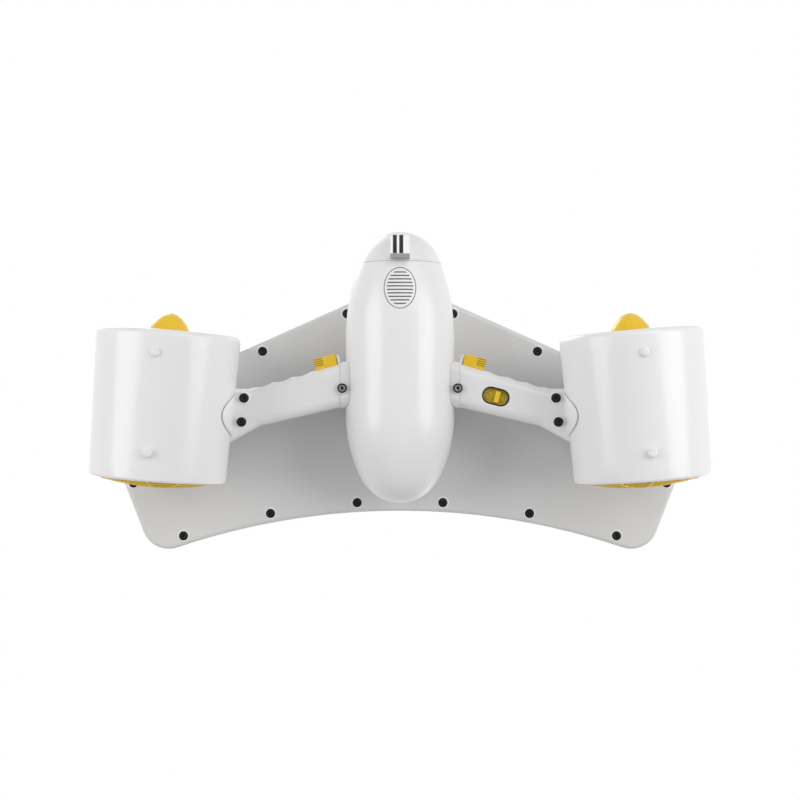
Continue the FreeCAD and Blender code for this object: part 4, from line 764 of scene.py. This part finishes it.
def switch_bezel():
    """Dark lip round the slide switch's window, partly painted shadow of the gap round the switch."""
    shape = bmesh.new()
    rings = stadium(shape, SWITCH_CENTRE, 0.0135, 0.008,
                    ((-0.0002, ARM_UNDERSIDE + 0.0028), (-0.0002, ARM_UNDERSIDE - 0.0001),
                     (0.0003, ARM_UNDERSIDE - 0.0003), (0.0011, ARM_UNDERSIDE - 0.0003),
                     (0.0014, ARM_UNDERSIDE + 0.0001), (0.0014, ARM_UNDERSIDE + 0.0028)))
    bridge_rings(shape, rings + rings[:1])
    settle("switch_bezel", finish_mesh(shape, "switch_bezel", ARM_PLACE), "rubber", "scooter")


def slab(shape, low, high, edge):
    """Block between two corners with its edges broken by a small chamfer."""
    made = bmesh.ops.create_cube(shape, size=1.0)["verts"]
    size = Vector(high) - Vector(low)
    for vert in made:
        vert.co = Vector(low) + Vector([(vert.co[i] + 0.5) * size[i] for i in range(3)])
    edges = list({item for vert in made for item in vert.link_edges})
    bmesh.ops.bevel(shape, geom=edges, offset=edge, segments=2, affect="EDGES", profile=0.6)


def trigger_ridges(side):
    """Fine ridges round the trigger's outer end, coloured darker as painted shade, low enough to clear its
    slot.
    """
    shape = bmesh.new()
    slab(shape, (0.0150, -0.0336, -0.0092), (0.0244, -0.0325, 0.0092), 0.0001)
    blank = bpy.data.objects.new("ridge_blank", finish_mesh(shape, "ridge_blank"))
    start = bpy.data.meshes.new("ridge_start")
    rows = grown(RIDGES, start, f"{side}_trigger_ridges", Ridge=blank, Count=4, Step=(0, 0.0023, 0),
                 Finish=olive_grip)
    bpy.data.objects.remove(blank)
    shape = bmesh.new()
    shape.from_mesh(rows)
    mesh = finish_mesh(shape, f"{side}_trigger_ridges", ARM_PLACE, side == "left")
    settle(f"{side}_trigger_ridges", mesh, "yellow", f"{side}_trigger", finish=olive_grip)


def trigger_guide(side):
    """White tab beside the trigger, moulded on the arm."""
    shape = bmesh.new()
    slab(shape, (-0.0030, -0.0325, -0.0080), (0.0002, -0.0200, 0.0080), 0.0006)
    mesh = finish_mesh(shape, f"{side}_trigger_guide", ARM_PLACE, side == "left")
    settle(f"{side}_trigger_guide", mesh, "white", "scooter")


def arm_saddle(side):
    """Saddle that carries the arm's end on the duct's inner side, with a dark joint round its foot."""
    centre_back, half_back = 0.0815, 0.0250
    centre_angle, half_angle = math.radians(152), math.radians(53)
    count = 96

    def ring(shape, share, lift):
        made = []
        for k in range(count):
            turn = 2 * math.pi * k / count
            back = centre_back + share * half_back * math.cos(turn)
            angle = centre_angle + share * half_angle * math.sin(turn)
            radius = DUCT_RADIUS - DUCT_TAPER * back / DUCT_LENGTH + lift
            made.append(shape.verts.new((radius * math.cos(angle), back, radius * math.sin(angle))))
        return made

    saddle, joint = bmesh.new(), bmesh.new()
    rings = [ring(saddle, share, lift) for share, lift in (
        (1.0, -0.0002), (0.985, 0.0008), (0.955, 0.0015), (0.90, 0.0019), (0.6, 0.0021), (0.3, 0.0021))]
    bridge_rings(saddle, rings)
    saddle.faces.new(rings[-1])
    rings = [ring(joint, share, lift) for share, lift in (
        (0.99, -0.0004), (0.99, 0.0002), (1.028, 0.0002), (1.028, -0.0004))]
    bridge_rings(joint, rings + rings[:1])
    settle(f"{side}_arm_saddle", finish_mesh(saddle, f"{side}_arm_saddle", DUCT_PLACE, side == "left"),
           "white", "scooter")
    settle(f"{side}_saddle_joint", finish_mesh(joint, f"{side}_saddle_joint", DUCT_PLACE, side == "left"),
           "grey_plastic", "scooter")


# The whole scooter, piece by piece
for node, thing in frame["nodes"].items():
    dress(thing, finishes[slot_of[node]])

for node in ("hull_shell", "nose_cap", "board_top_shell", "rubber_feet"):
    smooth_copy(node)
smooth_copy("board_bottom_shell", finish=board_underside)
smooth_copy("speed_switch", finish=knurled_switch)
smooth_copy("cap_release_button", finish=ribbed_button)
smooth_copy("camera_mount", finish=pale_mount)
for side in ("right", "left"):
    for name in ("duct", "pylon", "arm_upper_shell", "arm_lower_shell", "arm_collar", "trigger",
                 "propeller", "motor_housing"):
        smooth_copy(f"{side}_{name}")
    guard(side, "front", rim_radius=0.0661, hub_radius=0.0205, crown=0.0015, hub_face=0.0035, setback=0.0016)
    guard(side, "rear", rim_radius=0.0637, hub_radius=0.0150, crown=0.0093, hub_face=0.0093, setback=0)
    guard_dome(side)
    trigger_ridges(side)
    trigger_guide(side)
    arm_saddle(side)

board_places = screws("board_screws", 6, 3)
screw_rims("board_screw_rims", board_places, ["board_bottom_shell"])
duct_places = screws("duct_screws", 6, 5)
root_places = screws("arm_root_screws", 6, 7)
root_screw_details(root_places)
screw_rims("duct_screw_rims", duct_places, ["right_arm_lower_shell", "left_arm_lower_shell"])
button_seal()
seam_line()
mount_slot_shadows()
switch_bezel()


# Stage, light and camera
def floor():
    """Pale floor under the feet that fades out with distance and can't be seen from beneath."""
    mesh = bpy.data.meshes.new("floor")
    reach = 12.0
    mesh.from_pydata([(-reach, -reach, 0), (reach, -reach, 0), (reach, reach, 0), (-reach, reach, 0)], [],
                     [(0, 1, 2, 3)])
    plane = bpy.data.objects.new("floor", mesh)
    bpy.context.scene.collection.objects.link(plane)
    material, tree, shader = new_material("pale_floor")
    shader.inputs["Base Color"].default_value = (0.86, 0.86, 0.865, 1)
    shader.inputs["Roughness"].default_value = 0.6
    facing = tree.nodes.new("ShaderNodeNewGeometry")
    place = tree.nodes.new("ShaderNodeTexCoord")
    middle = tree.nodes.new("ShaderNodeVectorMath")
    middle.operation = "LENGTH"
    tree.links.new(place.outputs["Object"], middle.inputs[0])
    away = tree.nodes.new("ShaderNodeMapRange")
    away.inputs["From Min"].default_value = 0.6
    away.inputs["From Max"].default_value = 1.5
    tree.links.new(middle.outputs["Value"], away.inputs["Value"])
    clearness = math_step(tree, "MAXIMUM", facing.outputs["Backfacing"], away.outputs["Result"])
    clear = tree.nodes.new("ShaderNodeBsdfTransparent")
    mix = tree.nodes.new("ShaderNodeMixShader")
    tree.links.new(clearness, mix.inputs["Fac"])
    tree.links.new(shader.outputs["BSDF"], mix.inputs[1])
    tree.links.new(clear.outputs["BSDF"], mix.inputs[2])
    tree.links.new(mix.outputs["Shader"], tree.nodes["Material Output"].inputs["Surface"])
    mesh.materials.append(material)
    plane.visible_shadow = False
    plane.visible_diffuse = False
    plane.visible_glossy = False


def soft_light(name, place, size, power):
    """Round soft light that faces the scooter's middle."""
    lamp = bpy.data.lights.new(name, "AREA")
    lamp.shape = "DISK"
    lamp.size = size
    lamp.energy = power
    holder = bpy.data.objects.new(name, lamp)
    bpy.context.scene.collection.objects.link(holder)
    holder.location = place
    holder.rotation_euler = (Vector((0, 0, 0.1)) - Vector(place)).to_track_quat("-Z", "Y").to_euler()


def world():
    """White background to the eye, and soft even light that is brightest overhead."""
    sky = bpy.data.worlds.new("studio")
    bpy.context.scene.world = sky
    sky.use_nodes = True
    tree = sky.node_tree
    tree.nodes.clear()
    output = tree.nodes.new("ShaderNodeOutputWorld")
    seen = tree.nodes.new("ShaderNodeBackground")
    lit = tree.nodes.new("ShaderNodeBackground")
    mix = tree.nodes.new("ShaderNodeMixShader")
    path = tree.nodes.new("ShaderNodeLightPath")
    seen.inputs["Color"].default_value = (1, 1, 1, 1)
    seen.inputs["Strength"].default_value = 1.0
    fade = tree.nodes.new("ShaderNodeValToRGB")
    stops = fade.color_ramp.elements
    stops[0].color = (0.38, 0.38, 0.38, 1)
    stops[1].color = (1, 1, 1, 1)
    for position, level in ((0.30, 0.46), (0.45, 0.42)):
        stops.new(position).color = (level, level, level, 1)
    height = own_axes(tree, "Generated")["Z"]
    up = math_step(tree, "MULTIPLY", math_step(tree, "ADD", height, 1.0), 0.5)
    tree.links.new(up, fade.inputs["Fac"])
    tree.links.new(fade.outputs["Color"], lit.inputs["Color"])
    tree.links.new(path.outputs["Is Camera Ray"], mix.inputs["Fac"])
    tree.links.new(lit.outputs["Background"], mix.inputs[1])
    tree.links.new(seen.outputs["Background"], mix.inputs[2])
    tree.links.new(mix.outputs["Shader"], output.inputs["Surface"])


floor()
world()
soft_light("left_side", (-1.75, -0.3, -1.0), size=1.5, power=19)
soft_light("right_side", (1.75, -0.3, -1.0), size=1.5, power=19)
soft_light("under_right", (0.9, -1.2, -1.4), size=1.2, power=6)
soft_light("top_key", (-1.2, -1.4, 2.2), size=1.4, power=19)
soft_light("top_fill", (1.4, 1.2, 2.0), size=1.6, power=5)

camera = bpy.data.cameras.new("camera")
camera.sensor_width = 36
camera.lens = 63
eye = bpy.data.objects.new("camera", camera)
bpy.context.scene.collection.objects.link(eye)
eye.matrix_world = Matrix(((1, 0, 0, 0), (0, -1, 0, 0.0073), (0, 0, -1, -1.393), (0, 0, 0, 1)))
bpy.context.scene.camera = eye
bpy.context.scene.view_settings.view_transform = "Standard"
